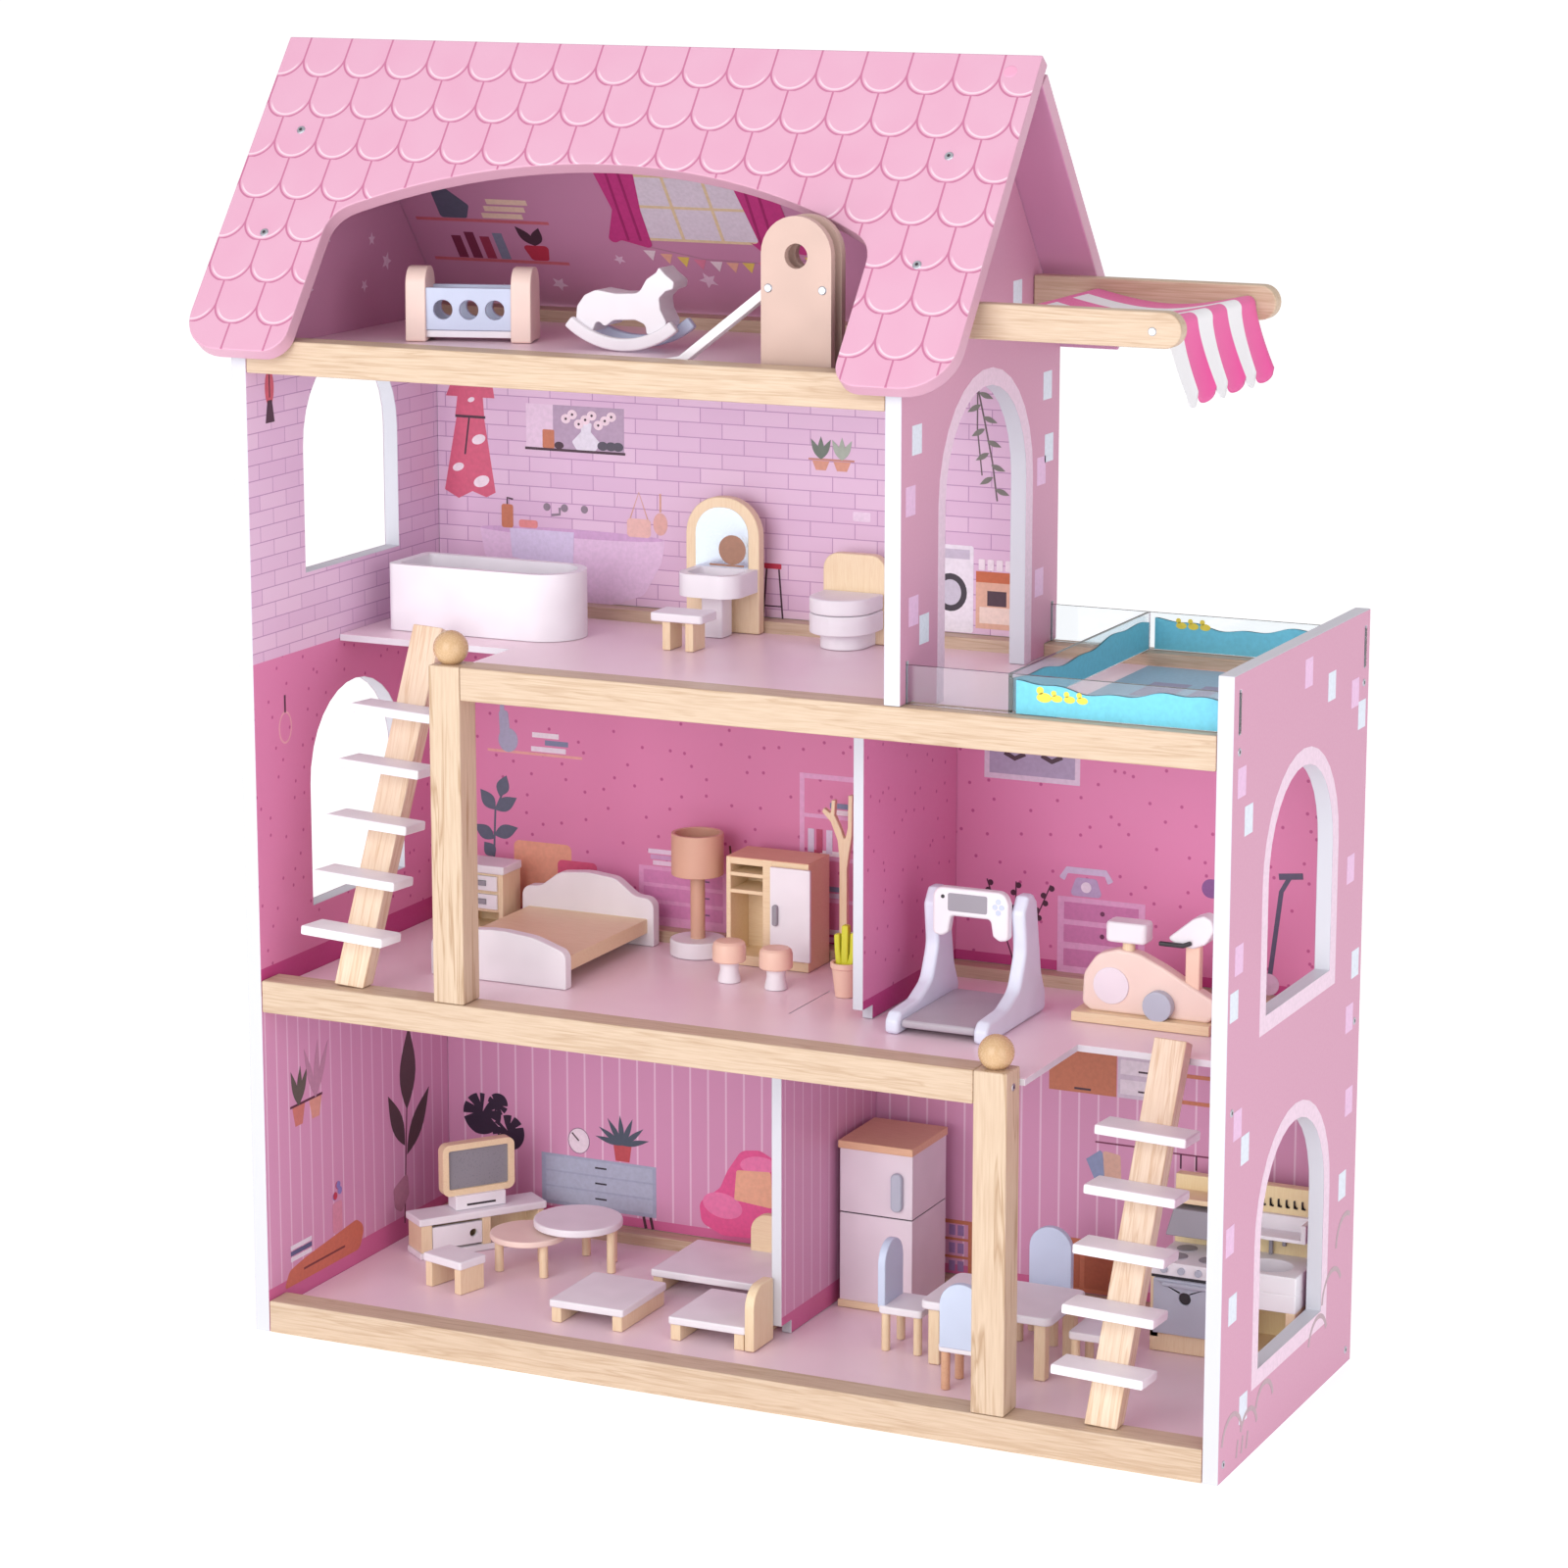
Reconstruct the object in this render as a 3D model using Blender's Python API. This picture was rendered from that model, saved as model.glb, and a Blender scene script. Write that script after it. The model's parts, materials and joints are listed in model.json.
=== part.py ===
"""Wooden dollhouse with its furniture. Run with: blender --background --python part.py

Plans are drawn in millimetres, with X = 0 on the left wall's inner face, Y = 0 on the front edge of the
walls and Z = 0 on the ground. The empty named house carries every piece and puts the origin under the
middle of the whole.
"""

import math

import bmesh
import bpy
from mathutils import Matrix, Vector
from mathutils.geometry import tessellate_polygon

MM = 0.001
GAP = 0.3
ARC_STEP = math.radians(20)

# Carcass
WALL = 12.0
INNER_WIDTH = 730.0
DEPTH = 282.0
MIDDLE = DEPTH / 2
BEAM = 24.0
GROUND_TOP, FIRST_TOP, SECOND_TOP, ATTIC_TOP = 24.0, 268.0, 513.0, 735.0
FLOOR_DROP = 9.0
FLOOR = 5.0
BACK_FACE = 272.0
BACK_PANEL = 3.0
TOWER_X = 493.5
RIGHT_WALL_TOP = 553.0
LADDER_HOLE_DEPTH = 121.0
LEFT_HOLE_X = 143.5
RIGHT_HOLE_X = 589.0
PARTITION = 8.0
PARTITION_FRONT = 104.0
WINDOW_WIDTH = 135.0
WINDOW_HEIGHT = 159.0
DOOR_FRONT, DOOR_REAR, DOOR_TOP = 75.0, 220.0, 712.5
POST_BALL = 12.5

# Roof
PITCH = math.radians(52.3)
RIDGE = 918.5
ROOF = 12.0
ROOF_LEFT, ROOF_RIGHT = -43.0, 546.0
RIDGE_LAP = 16.0
FRONT_SLOPE = 264.0
REAR_SLOPE = 247.0
ARCH_RADIUS = 460.0
ARCH_TOP = 99.5
LEG_LEFT, LEG_RIGHT = 41.0, 462.0

# Balcony
PANE = 3.0
PANE_TOP = 540.0
PANE_FRONT, PANE_REAR, PANE_MIDDLE = 10.6, 271.0, 578.5
SLOT_TOP = 544.0
ROD_HEIGHT = 768.0
INNER_ROD, OUTER_ROD, ROD_RADIUS = 555.0, 665.0, 4.5

# Ladders
LEAN = math.radians(22)
RAIL_WIDTH, RAIL_THICK, RAIL_LENGTH = 24.0, 14.0, 269.0
TREAD_WIDTH, TREAD_DEPTH, TREAD_THICK = 67.0, 30.0, 7.0
TREAD_FIRST, TREAD_STEP, TREADS = 45.0, 41.3, 5

FLOOR_GROUND = GROUND_TOP - FLOOR_DROP
FLOOR_FIRST = FIRST_TOP - FLOOR_DROP
FLOOR_SECOND = SECOND_TOP - FLOOR_DROP
FLOOR_ATTIC = ATTIC_TOP - FLOOR_DROP

PINE = ("#E9D2B4", 0.55)
PRINTED = ("#D2B2D4", 0.6)
WHITE = ("#DCDDE3", 0.5)
PINK_BOARD = ("#EBC9DB", 0.5)
ROOF_PINK = ("#E9AFCB", 0.5)
BEECH = ("#F2D9AE", 0.5)
PEACH = ("#F0C8B0", 0.5)
SKY = ("#C3CCE2", 0.5)
SLIDE_TAN = ("#D0B3A8", 0.5)
CLOTH_PINK = ("#E86DB0", 0.85)
CLEAR = ("#DDE6EC", 0.1)
SLATE = ("#6E7488", 0.5)

# ---------------------------------------------------------------- outlines


def rectangle(left, right, low, high):
    """The four corners of a rectangle, anticlockwise."""
    return [(left, low), (right, low), (right, high), (left, high)]


def arc(centre_x, centre_y, radius, start, end, steps):
    """Points on an arc, from the start angle to the end angle in degrees."""
    angles = [math.radians(start + (end - start) * step / steps) for step in range(steps + 1)]
    return [(centre_x + radius * math.cos(a), centre_y + radius * math.sin(a)) for a in angles]


def circle(centre_x, centre_y, radius, steps=12):
    """Points round a circle."""
    return arc(centre_x, centre_y, radius, 0, 360 - 360 / steps, steps - 1)


def rounded(points, radii):
    """The outline with each corner turned into an arc of its own radius."""
    out = []
    for i, radius in enumerate(radii):
        corner = Vector(points[i])
        if not radius:
            out.append(corner)
            continue
        to_last = (Vector(points[i - 1]) - corner).normalized()
        to_next = (Vector(points[(i + 1) % len(points)]) - corner).normalized()
        half = to_last.angle(to_next) / 2
        centre = corner + (to_last + to_next).normalized() * radius / math.sin(half)
        first = corner + to_last * radius / math.tan(half) - centre
        last = corner + to_next * radius / math.tan(half) - centre
        start = math.atan2(first.y, first.x)
        sweep = (math.atan2(last.y, last.x) - start + math.pi) % math.tau - math.pi
        steps = max(1, math.ceil(abs(sweep) / ARC_STEP))
        degrees = (math.degrees(start), math.degrees(start + sweep))
        out += arc(centre.x, centre.y, radius, *degrees, steps)
    return out


def arched(left, right, low, high):
    """A doorway or window outline whose top is a half circle."""
    radius = (right - left) / 2 - 0.01
    return rounded(rectangle(left, right, low, high), (0, 0, radius, radius))


def crowned(left, right, low, shoulder, crown, steps=8):
    """A board outline whose top rises in a shallow arc from its shoulders to its crown."""
    half = (right - left) / 2
    rise = crown - shoulder
    radius = (half * half + rise * rise) / (2 * rise)
    spread = math.degrees(math.asin(half / radius))
    top = arc((left + right) / 2, crown - radius, radius, 90 - spread, 90 + spread, steps)
    return [(left, low), (right, low), *top]


def ribbon(path, thick):
    """The outline of a strip of even thickness under a path."""
    under = []
    for i, point in enumerate(path):
        before, after = Vector(path[max(i - 1, 0)]), Vector(path[min(i + 1, len(path) - 1)])
        along = (after - before).normalized()
        under.append((point[0] + along.y * thick, point[1] - along.x * thick))
    return list(path) + under[::-1]


# ---------------------------------------------------------------- solids

AXES = {"xy": (0, 1, 2), "xz": (0, 2, 1), "yz": (1, 2, 0)}


def shape(mesh):
    """A loose object from a closed bmesh, its faces turned outwards."""
    bmesh.ops.recalc_face_normals(mesh, faces=mesh.faces)
    data = bpy.data.meshes.new("shape")
    mesh.to_mesh(data)
    mesh.free()
    result = bpy.data.objects.new("shape", data)
    bpy.context.scene.collection.objects.link(result)
    return result


def distinct(loop):
    """The loop without points that repeat the one before."""
    points = [Vector(point) for point in loop]
    return [p for i, p in enumerate(points) if (p - points[i - 1]).length > 0.05]


def plate(plane, outline, start, end, holes=()):
    """A board cut to an outline with holes, from start to end along the axis square to its plane."""
    loops = [distinct(loop) for loop in (outline, *holes)]
    points = [point for loop in loops for point in loop]
    caps = tessellate_polygon([[point.to_3d() for point in loop] for loop in loops])
    across, up, through = AXES[plane]
    mesh = bmesh.new()
    layers = []
    for depth in (start, end):
        layer = []
        for point in points:
            place = Vector((0, 0, 0))
            place[across], place[up], place[through] = point.x, point.y, depth
            layer.append(mesh.verts.new(place * MM))
        for cap in caps:
            mesh.faces.new([layer[i] for i in cap])
        layers.append(layer)
    near, far = layers
    first = 0
    for loop in loops:
        for i in range(len(loop)):
            a, b = first + i, first + (i + 1) % len(loop)
            mesh.faces.new((near[a], near[b], far[b], far[a]))
        first += len(loop)
    return shape(mesh)


def block(x0, x1, y0, y1, z0, z1):
    """A box between two corners."""
    return plate("xy", rectangle(x0, x1, y0, y1), z0, z1)


def turned(profile, x=0.0, y=0.0, sides=16):
    """A lathe-turned solid on an upright axis; the profile of (radius, height) starts and ends on it."""
    mesh = bmesh.new()
    rows = []
    for radius, height in profile:
        if radius == 0:
            rows.append([mesh.verts.new(Vector((x, y, height)) * MM)] * sides)
            continue
        ring = [(x + radius * math.cos(a), y + radius * math.sin(a), height)
                for a in (math.tau * k / sides for k in range(sides))]
        rows.append([mesh.verts.new(Vector(point) * MM) for point in ring])
    for low, high in zip(rows, rows[1:]):
        for k in range(sides):
            n = (k + 1) % sides
            corners = list(dict.fromkeys((low[k], low[n], high[n], high[k])))
            mesh.faces.new(corners)
    return shape(mesh)


def dowel(start, end, radius, sides=10):
    """A round rod between two points."""
    along = Vector(end) - Vector(start)
    rod = turned([(0, 0), (radius, 0), (radius, along.length), (0, along.length)], sides=sides)
    rod.data.transform(along.to_track_quat("Z", "Y").to_matrix().to_4x4())
    rod.data.transform(Matrix.Translation(Vector(start) * MM))
    return rod


def ball(x, y, z, radius, sides=14):
    """A turned ball."""
    bands = sides // 2
    profile = [(radius * math.sin(math.pi * k / bands), z - radius * math.cos(math.pi * k / bands))
               for k in range(1, bands)]
    return turned([(0, z - radius), *profile, (0, z + radius)], x, y, sides)


# ---------------------------------------------------------------- pieces

house = None


def finish_material(name, finish):
    """A painted or natural wood finish from an sRGB hex colour and a roughness."""
    colour, roughness = finish
    channels = [int(colour[i:i + 2], 16) / 255 for i in (1, 3, 5)]
    linear = [c / 12.92 if c <= 0.04045 else ((c + 0.055) / 1.055) ** 2.4 for c in channels]
    material = bpy.data.materials.new(name)
    material.use_nodes = True
    shader = material.node_tree.nodes["Principled BSDF"]
    shader.inputs["Base Color"].default_value = (*linear, 1)
    shader.inputs["Roughness"].default_value = roughness
    shader.inputs["Metallic"].default_value = 0
    return material


def piece(name, finish, shapes, cuts=(), at=(0, 0, 0), turn=(0, 0, 0)):
    """One named part: its shapes joined into one body, less the cuts, standing at its place in the house."""
    base = shapes[0]
    steps = [(other, "UNION") for other in shapes[1:]] + [(other, "DIFFERENCE") for other in cuts]
    for other, operation in steps:
        modifier = base.modifiers.new(operation.title(), "BOOLEAN")
        modifier.operation = operation
        modifier.object = other
        modifier.solver = "EXACT"
    bpy.context.view_layer.update()
    graph = bpy.context.evaluated_depsgraph_get()
    mesh = bpy.data.meshes.new_from_object(base.evaluated_get(graph))
    mesh.name = name
    for helper in (base, *(other for other, _ in steps)):
        bpy.data.objects.remove(helper)
    mesh.shade_smooth()
    mesh.set_sharp_from_angle(angle=math.radians(35))
    mesh.materials.clear()
    mesh.materials.append(finish_material(name, finish))
    return place(name, mesh, at, turn)


def place(name, mesh, at, turn):
    """An object for the mesh, under the house's empty."""
    part = bpy.data.objects.new(name, mesh)
    bpy.context.scene.collection.objects.link(part)
    part.parent = house
    part.location = Vector(at) * MM
    part.rotation_euler = turn
    return part


# ---------------------------------------------------------------- carcass


def gable(bottom):
    """The bottom edge points, then the eaves and the point of a wall that fits under the roof."""
    under_roof = 0.5
    eave = RIDGE - MIDDLE * math.tan(PITCH) - under_roof
    return [*bottom, (DEPTH, eave), (MIDDLE, RIDGE - under_roof), (0, eave)]


def window(middle, low):
    """A window opening with a round top."""
    return arched(middle - WINDOW_WIDTH / 2, middle + WINDOW_WIDTH / 2, low, low + WINDOW_HEIGHT)


def walls():
    """Left wall, tower wall between attic and balcony, and the lower right wall."""
    windows = [window(143.5, 308), window(143.5, 557)]
    left = plate("yz", gable([(0, 0), (DEPTH, 0)]), -WALL, 0, windows)
    piece("left_wall", PRINTED, [left])

    sill, stand = FLOOR_SECOND + GAP, SECOND_TOP + GAP
    rail = BEAM + GAP
    slot = (PANE_FRONT - GAP, PANE_FRONT + PANE + GAP)
    rear_slot = (PANE_REAR - GAP, PANE_REAR + PANE + GAP)
    radius = (DOOR_REAR - DOOR_FRONT) / 2
    doorway = arc((DOOR_FRONT + DOOR_REAR) / 2, DOOR_TOP - radius, radius, 180, 0, 12)
    bottom = [(0, stand), (slot[0], stand), (slot[0], SLOT_TOP), (slot[1], SLOT_TOP), (slot[1], stand),
              (rail, stand), (rail, sill), (DOOR_FRONT, sill), *doorway, (DOOR_REAR, sill),
              (DEPTH - rail, sill), (DEPTH - rail, stand), (rear_slot[0], stand), (rear_slot[0], SLOT_TOP),
              (rear_slot[1], SLOT_TOP), (rear_slot[1], stand), (DEPTH, stand)]
    tower = plate("yz", gable(bottom), TOWER_X, TOWER_X + WALL)
    piece("tower_wall", PRINTED, [tower])

    slots = [rectangle(*ends, SECOND_TOP - GAP, SLOT_TOP) for ends in (slot, rear_slot)]
    openings = [window(143.5, 308), window(143.5, 58.5), *slots]
    right = plate("yz", rectangle(0, DEPTH, 0, RIGHT_WALL_TOP), INNER_WIDTH, INNER_WIDTH + WALL, openings)
    piece("right_wall", PRINTED, [right])


def storeys():
    """Ground deck, the floors with their rear rails, the front beams and the thin back panels."""
    left, right = GAP, INNER_WIDTH - GAP
    top = FLOOR_GROUND
    deck = [(0, 0), (BEAM, 0), (BEAM, top - FLOOR), (DEPTH - BEAM, top - FLOOR), (DEPTH - BEAM, 0),
            (DEPTH, 0), (DEPTH, GROUND_TOP), (DEPTH - BEAM, GROUND_TOP), (DEPTH - BEAM, top),
            (BEAM, top), (BEAM, GROUND_TOP), (0, GROUND_TOP)]
    piece("base_deck", PINE, [plate("yz", deck, left, right)])

    front, rear = BEAM + GAP, DEPTH - BEAM + 1
    first = [(left, front), (RIGHT_HOLE_X, front), (RIGHT_HOLE_X, LADDER_HOLE_DEPTH),
             (right, LADDER_HOLE_DEPTH), (right, rear), (left, rear)]
    second = [(LEFT_HOLE_X, front), (right, front), (right, rear), (left, rear),
              (left, LADDER_HOLE_DEPTH), (LEFT_HOLE_X, LADDER_HOLE_DEPTH)]
    attic_right = TOWER_X - GAP
    attic = rectangle(left, attic_right, front, rear)
    slot = rectangle(371.5, 372.5, 110, 180)
    for name, outline, level, end, holes in (("floor_first", first, FIRST_TOP, right, [slot]),
                                             ("floor_second", second, SECOND_TOP, right, []),
                                             ("floor_attic", attic, ATTIC_TOP, attic_right, [])):
        floor_top = level - FLOOR_DROP
        panel = plate("xy", outline, floor_top - FLOOR, floor_top, holes)
        rail = block(left, end, DEPTH - BEAM, DEPTH, level - BEAM, level)
        piece(name, PINK_BOARD, [panel, rail])

    for name, start, end, level in (("beam_first", left, 560.7, FIRST_TOP),
                                    ("beam_second", 168.7, right, SECOND_TOP),
                                    ("beam_attic", left, attic_right, ATTIC_TOP)):
        piece(name, PINE, [block(start, end, 0, BEAM, level - BEAM, level)])

    for name, end, low, level in (("back_panel_ground", right, GROUND_TOP, FIRST_TOP),
                                  ("back_panel_first", right, FIRST_TOP, SECOND_TOP),
                                  ("back_panel_second", attic_right, SECOND_TOP, ATTIC_TOP)):
        panel = block(left, end, BACK_FACE, BACK_FACE + BACK_PANEL, low + GAP, level - BEAM - GAP)
        piece(name, PRINTED, [panel])


def posts_and_partitions():
    """The two front posts with their ball tops, and the upright boards between the rooms."""
    for name, left, low, top in (("post_left", 143.8, FIRST_TOP, SECOND_TOP),
                                 ("post_right", 561.0, GROUND_TOP, FIRST_TOP)):
        shaft = block(left, left + BEAM + 0.6, 0, BEAM, low + GAP, top)
        finial = ball(left + BEAM / 2, BEAM / 2, top + POST_BALL - 1.5, POST_BALL)
        piece(name, PINE, [shaft, finial])

    tab = LADDER_HOLE_DEPTH
    back = BACK_FACE - GAP
    rail = DEPTH - BEAM - GAP
    for name, left, low, level in (("partition_ground", 361.0, GROUND_TOP, FIRST_TOP),
                                   ("partition_first", 424.5, FIRST_TOP, SECOND_TOP)):
        floor_top, ceiling = low - FLOOR_DROP + GAP, level - FLOOR_DROP - FLOOR - GAP
        outline = [(tab, floor_top), (rail, floor_top), (rail, low + GAP), (back, low + GAP),
                   (back, level - BEAM - GAP), (rail, level - BEAM - GAP), (rail, ceiling),
                   (PARTITION_FRONT, ceiling), (PARTITION_FRONT, floor_top + 10), (tab, floor_top + 10)]
        piece(name, WHITE, [plate("yz", outline, left, left + PARTITION)])


def roof():
    """The cut-away front slope, lapped over the whole rear slope at the ridge."""
    down, out = math.cos(PITCH), math.sin(PITCH)
    arch = arc((LEG_LEFT + LEG_RIGHT) / 2 - 5, -ARCH_TOP - ARCH_RADIUS, ARCH_RADIUS, 66, 114, 10)
    corners = [(ROOF_LEFT, 0), (ROOF_LEFT, -FRONT_SLOPE), (LEG_LEFT, -FRONT_SLOPE), (LEG_LEFT, -148),
               *arch[::-1], (LEG_RIGHT, -153), (LEG_RIGHT, -FRONT_SLOPE), (ROOF_RIGHT, -FRONT_SLOPE),
               (ROOF_RIGHT, 0)]
    radii = [0, 30, 18, 25, *[0] * len(arch), 25, 18, 35, 0]
    panel = plate("xy", rounded(corners, radii), -ROOF, 0)
    ridge_y = MIDDLE + RIDGE_LAP * down - ROOF * out
    ridge_z = RIDGE + RIDGE_LAP * out + ROOF * down
    piece("roof_front", ROOF_PINK, [panel], at=(0, ridge_y, ridge_z), turn=(PITCH, 0, 0))

    panel = plate("xy", rectangle(ROOF_LEFT, ROOF_RIGHT, 0.5, REAR_SLOPE), -ROOF, 0)
    above = (0, MIDDLE + ROOF * out, RIDGE + ROOF * down)
    piece("roof_rear", ROOF_PINK, [panel], at=above, turn=(-PITCH, 0, 0))


def balcony():
    """Awning arms with their rods, the cloth over them, and the three clear panes."""
    arms = []
    for front in (41.5, 228.5):
        outline = rounded(rectangle(TOWER_X + WALL + GAP, 685, ROD_HEIGHT - 11, ROD_HEIGHT + 13),
                          (0, 11.9, 11.9, 0))
        arms.append(plate("xz", outline, front, front + WALL))
    rods = [dowel((x, 44, ROD_HEIGHT), (x, 238, ROD_HEIGHT), ROD_RADIUS) for x in (INNER_ROD, OUTER_ROD)]
    piece("awning_frame", PINE, [*arms, *rods])

    over = ROD_RADIUS + 2.2
    sag = [(INNER_ROD + over + 92 * k / 8, ROD_HEIGHT + 2 - 9 * math.sin(math.pi * k / 8)) for k in range(9)]
    path = [*arc(INNER_ROD, ROD_HEIGHT, over, 170, 40, 4), *sag[1:],
            *arc(OUTER_ROD, ROD_HEIGHT, over, 130, 10, 4), (OUTER_ROD + over + 1, 735), (OUTER_ROD + over, 714)]
    piece("awning_cloth", CLOTH_PINK, [plate("xz", ribbon(path, 1.6), 54.5, 227.5)])

    ends = (TOWER_X + GAP, INNER_WIDTH + WALL - GAP)
    low = SECOND_TOP + GAP
    piece("pane_front", CLEAR, [block(*ends, PANE_FRONT, PANE_FRONT + PANE, low, PANE_TOP)])
    piece("pane_rear", CLEAR, [block(*ends, PANE_REAR, PANE_REAR + PANE, low, PANE_TOP)])
    middle = block(PANE_MIDDLE, PANE_MIDDLE + PANE, PANE_FRONT + PANE + GAP, PANE_REAR - GAP, low, PANE_TOP)
    piece("pane_middle", CLEAR, [middle])


def ladders():
    """One broad rail with treads on its front, cut level at the foot and leant back; it hinges at the foot."""
    slope = math.tan(LEAN)
    level = LEAN - math.radians(4)
    for name, right_edge, foot, roll in (("ladder_left", 79.6, FIRST_TOP, 3), ("ladder_right", 664.6, GROUND_TOP, 2)):
        outline = [(0, 0), (RAIL_THICK, RAIL_THICK * slope), (RAIL_THICK, RAIL_LENGTH), (0, RAIL_LENGTH)]
        shapes = [plate("yz", outline, -RAIL_WIDTH, 0)]
        middle = -RAIL_WIDTH / 2
        for k in range(TREADS):
            height = TREAD_FIRST + k * TREAD_STEP
            reach = TREAD_DEPTH * math.cos(level), TREAD_DEPTH * math.sin(level)
            path = [(1.5, height + 1.5 * math.tan(level)), (1.5 - reach[0], height - reach[1])]
            side = (middle - TREAD_WIDTH / 2, middle + TREAD_WIDTH / 2)
            shapes.append(plate("yz", ribbon(path[::-1], TREAD_THICK), *side))
        piece(name, BEECH, shapes, at=(right_edge, 10, foot + GAP), turn=(-LEAN, math.radians(roll), 0))


# ---------------------------------------------------------------- attic


def attic():
    """The slide, the crib and the rocking horse."""
    sides = []
    for front in (-11.5, 5.5):
        outline = rounded(rectangle(-26, 26, 0, 108.5), (0, 0, 25.9, 25.9))
        sides.append(plate("xz", outline, front, front + 6, [circle(0, 81.7, 8.5)]))
    chute = plate("xz", ribbon([(-104, 6.5), (-90, 9), (-23, 62), (-14, 62)], 6.5), -6.5, 6.5)
    piece("slide", SLIDE_TAN, [*sides, chute], at=(416, 38.5, FLOOR_ATTIC + GAP))

    length, depth, end_board = 92, 36, 15
    profile = rounded([(0, 0), (9, 0), (12, 7), (24, 7), (27, 0), (36, 0), (34, 53), (2, 53)],
                      (0, 0, 0, 0, 0, 0, 15, 15))
    ends = [plate("yz", profile, x, x + end_board) for x in (0, length - end_board)]
    holes = [circle(length / 2 + step, 23, 7) for step in (-19, 0, 19)]
    rails = [plate("xz", rectangle(14, length - 14, 8.3, 38.7), y, y + 4, holes) for y in (3.5, depth - 7.5)]
    bottom = block(14, length - 14, 6, depth - 6, 9.5, 14)
    piece("crib", SKY, [*ends, *rails, bottom], at=(73, 99, FLOOR_ATTIC + GAP), turn=(0, 0, math.radians(17)))

    radius = 69.4
    rocker = [*arc(0, 0, radius, 230, 310, 9), *arc(0, 0, radius - 9, 310, 230, 9)]
    rockers = [plate("xz", rocker, y, y + 6) for y in (-17, 11)]
    ground = -radius
    body = [(-34, 16), (-20, 9), (-13, 17), (0, 22), (12, 20), (18, 9), (33, 16), (27, 34), (37, 44), (38, 50),
            (25, 59), (17, 55), (9, 41), (-10, 38), (-24, 41), (-31, 34)]
    horse = plate("xz", [(x, ground + z) for x, z in body], -11.5, 11.5)
    piece("rocking_horse", PEACH, [horse, *rockers], at=(241.5, 125, FLOOR_ATTIC + GAP + radius))


# ---------------------------------------------------------------- bathroom


def bathroom():
    """Bathtub, washstand, stool, and the toilet with its lid."""
    stand = FLOOR_SECOND + GAP
    tub = rounded(rectangle(-74, 74, -30, 30), (6, 29.9, 29.9, 6))
    hollow = rounded(rectangle(-67, 67, -24, 24), (4, 23.9, 23.9, 4))
    piece("bathtub", WHITE, [plate("xy", tub, 0, 49.7)], [plate("xy", hollow, 6, 60)], at=(97.8, 181, stand))

    board = plate("xz", rounded(rectangle(-30, 30, 0, 100.7), (0, 0, 26, 26)), -4.5, 5)
    basin = plate("xy", rounded(rectangle(-21, 29, -45, -3.5), (19, 19, 0, 0)), 31.7, 48.7)
    bowl = plate("xy", rounded(rectangle(-16, 24, -40.5, -8), (15, 15, 5, 5)), 37, 60)
    pedestal = block(-5.2, 12, -30, -12, 0, 33)
    piece("washstand", SKY, [board, basin, pedestal], [bowl], at=(253.2, 252, stand))

    seat = plate("xy", rounded(rectangle(-21, 21, -13.5, 13.5), (3, 3, 3, 3)), 21.2, 27.7)
    legs = [block(x, x + 6.5, -10, 10, 0, 22) for x in (-12.5, 6)]
    piece("bath_stool", PEACH, [seat, *legs], at=(258, 173.5, stand))

    seat_outline = rounded(rectangle(-24, 24, -30, 13.8), (23.9, 23.9, 0, 0))
    board = plate("xz", rounded(rectangle(-25, 25, 0, 65.7), (0, 0, 14, 14)), 14.5, 23.5)
    bowl = plate("xy", [(x, y + (1.7 if y > 13 else 0)) for x, y in seat_outline], 11.7, 26.3)
    base = block(-17.5, 17.5, -18, 15.5, 0, 12.7)
    piece("toilet", WHITE, [board, bowl, base], at=(360, 233, stand))
    lid_high = 11.7
    lid = plate("xy", [(x, y - 13.8) for x, y in seat_outline], -lid_high, 0)
    piece("toilet_lid", BEECH, [lid], at=(360, 246.8, stand + 26.3 + GAP + lid_high))


# ---------------------------------------------------------------- bedroom


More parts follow.
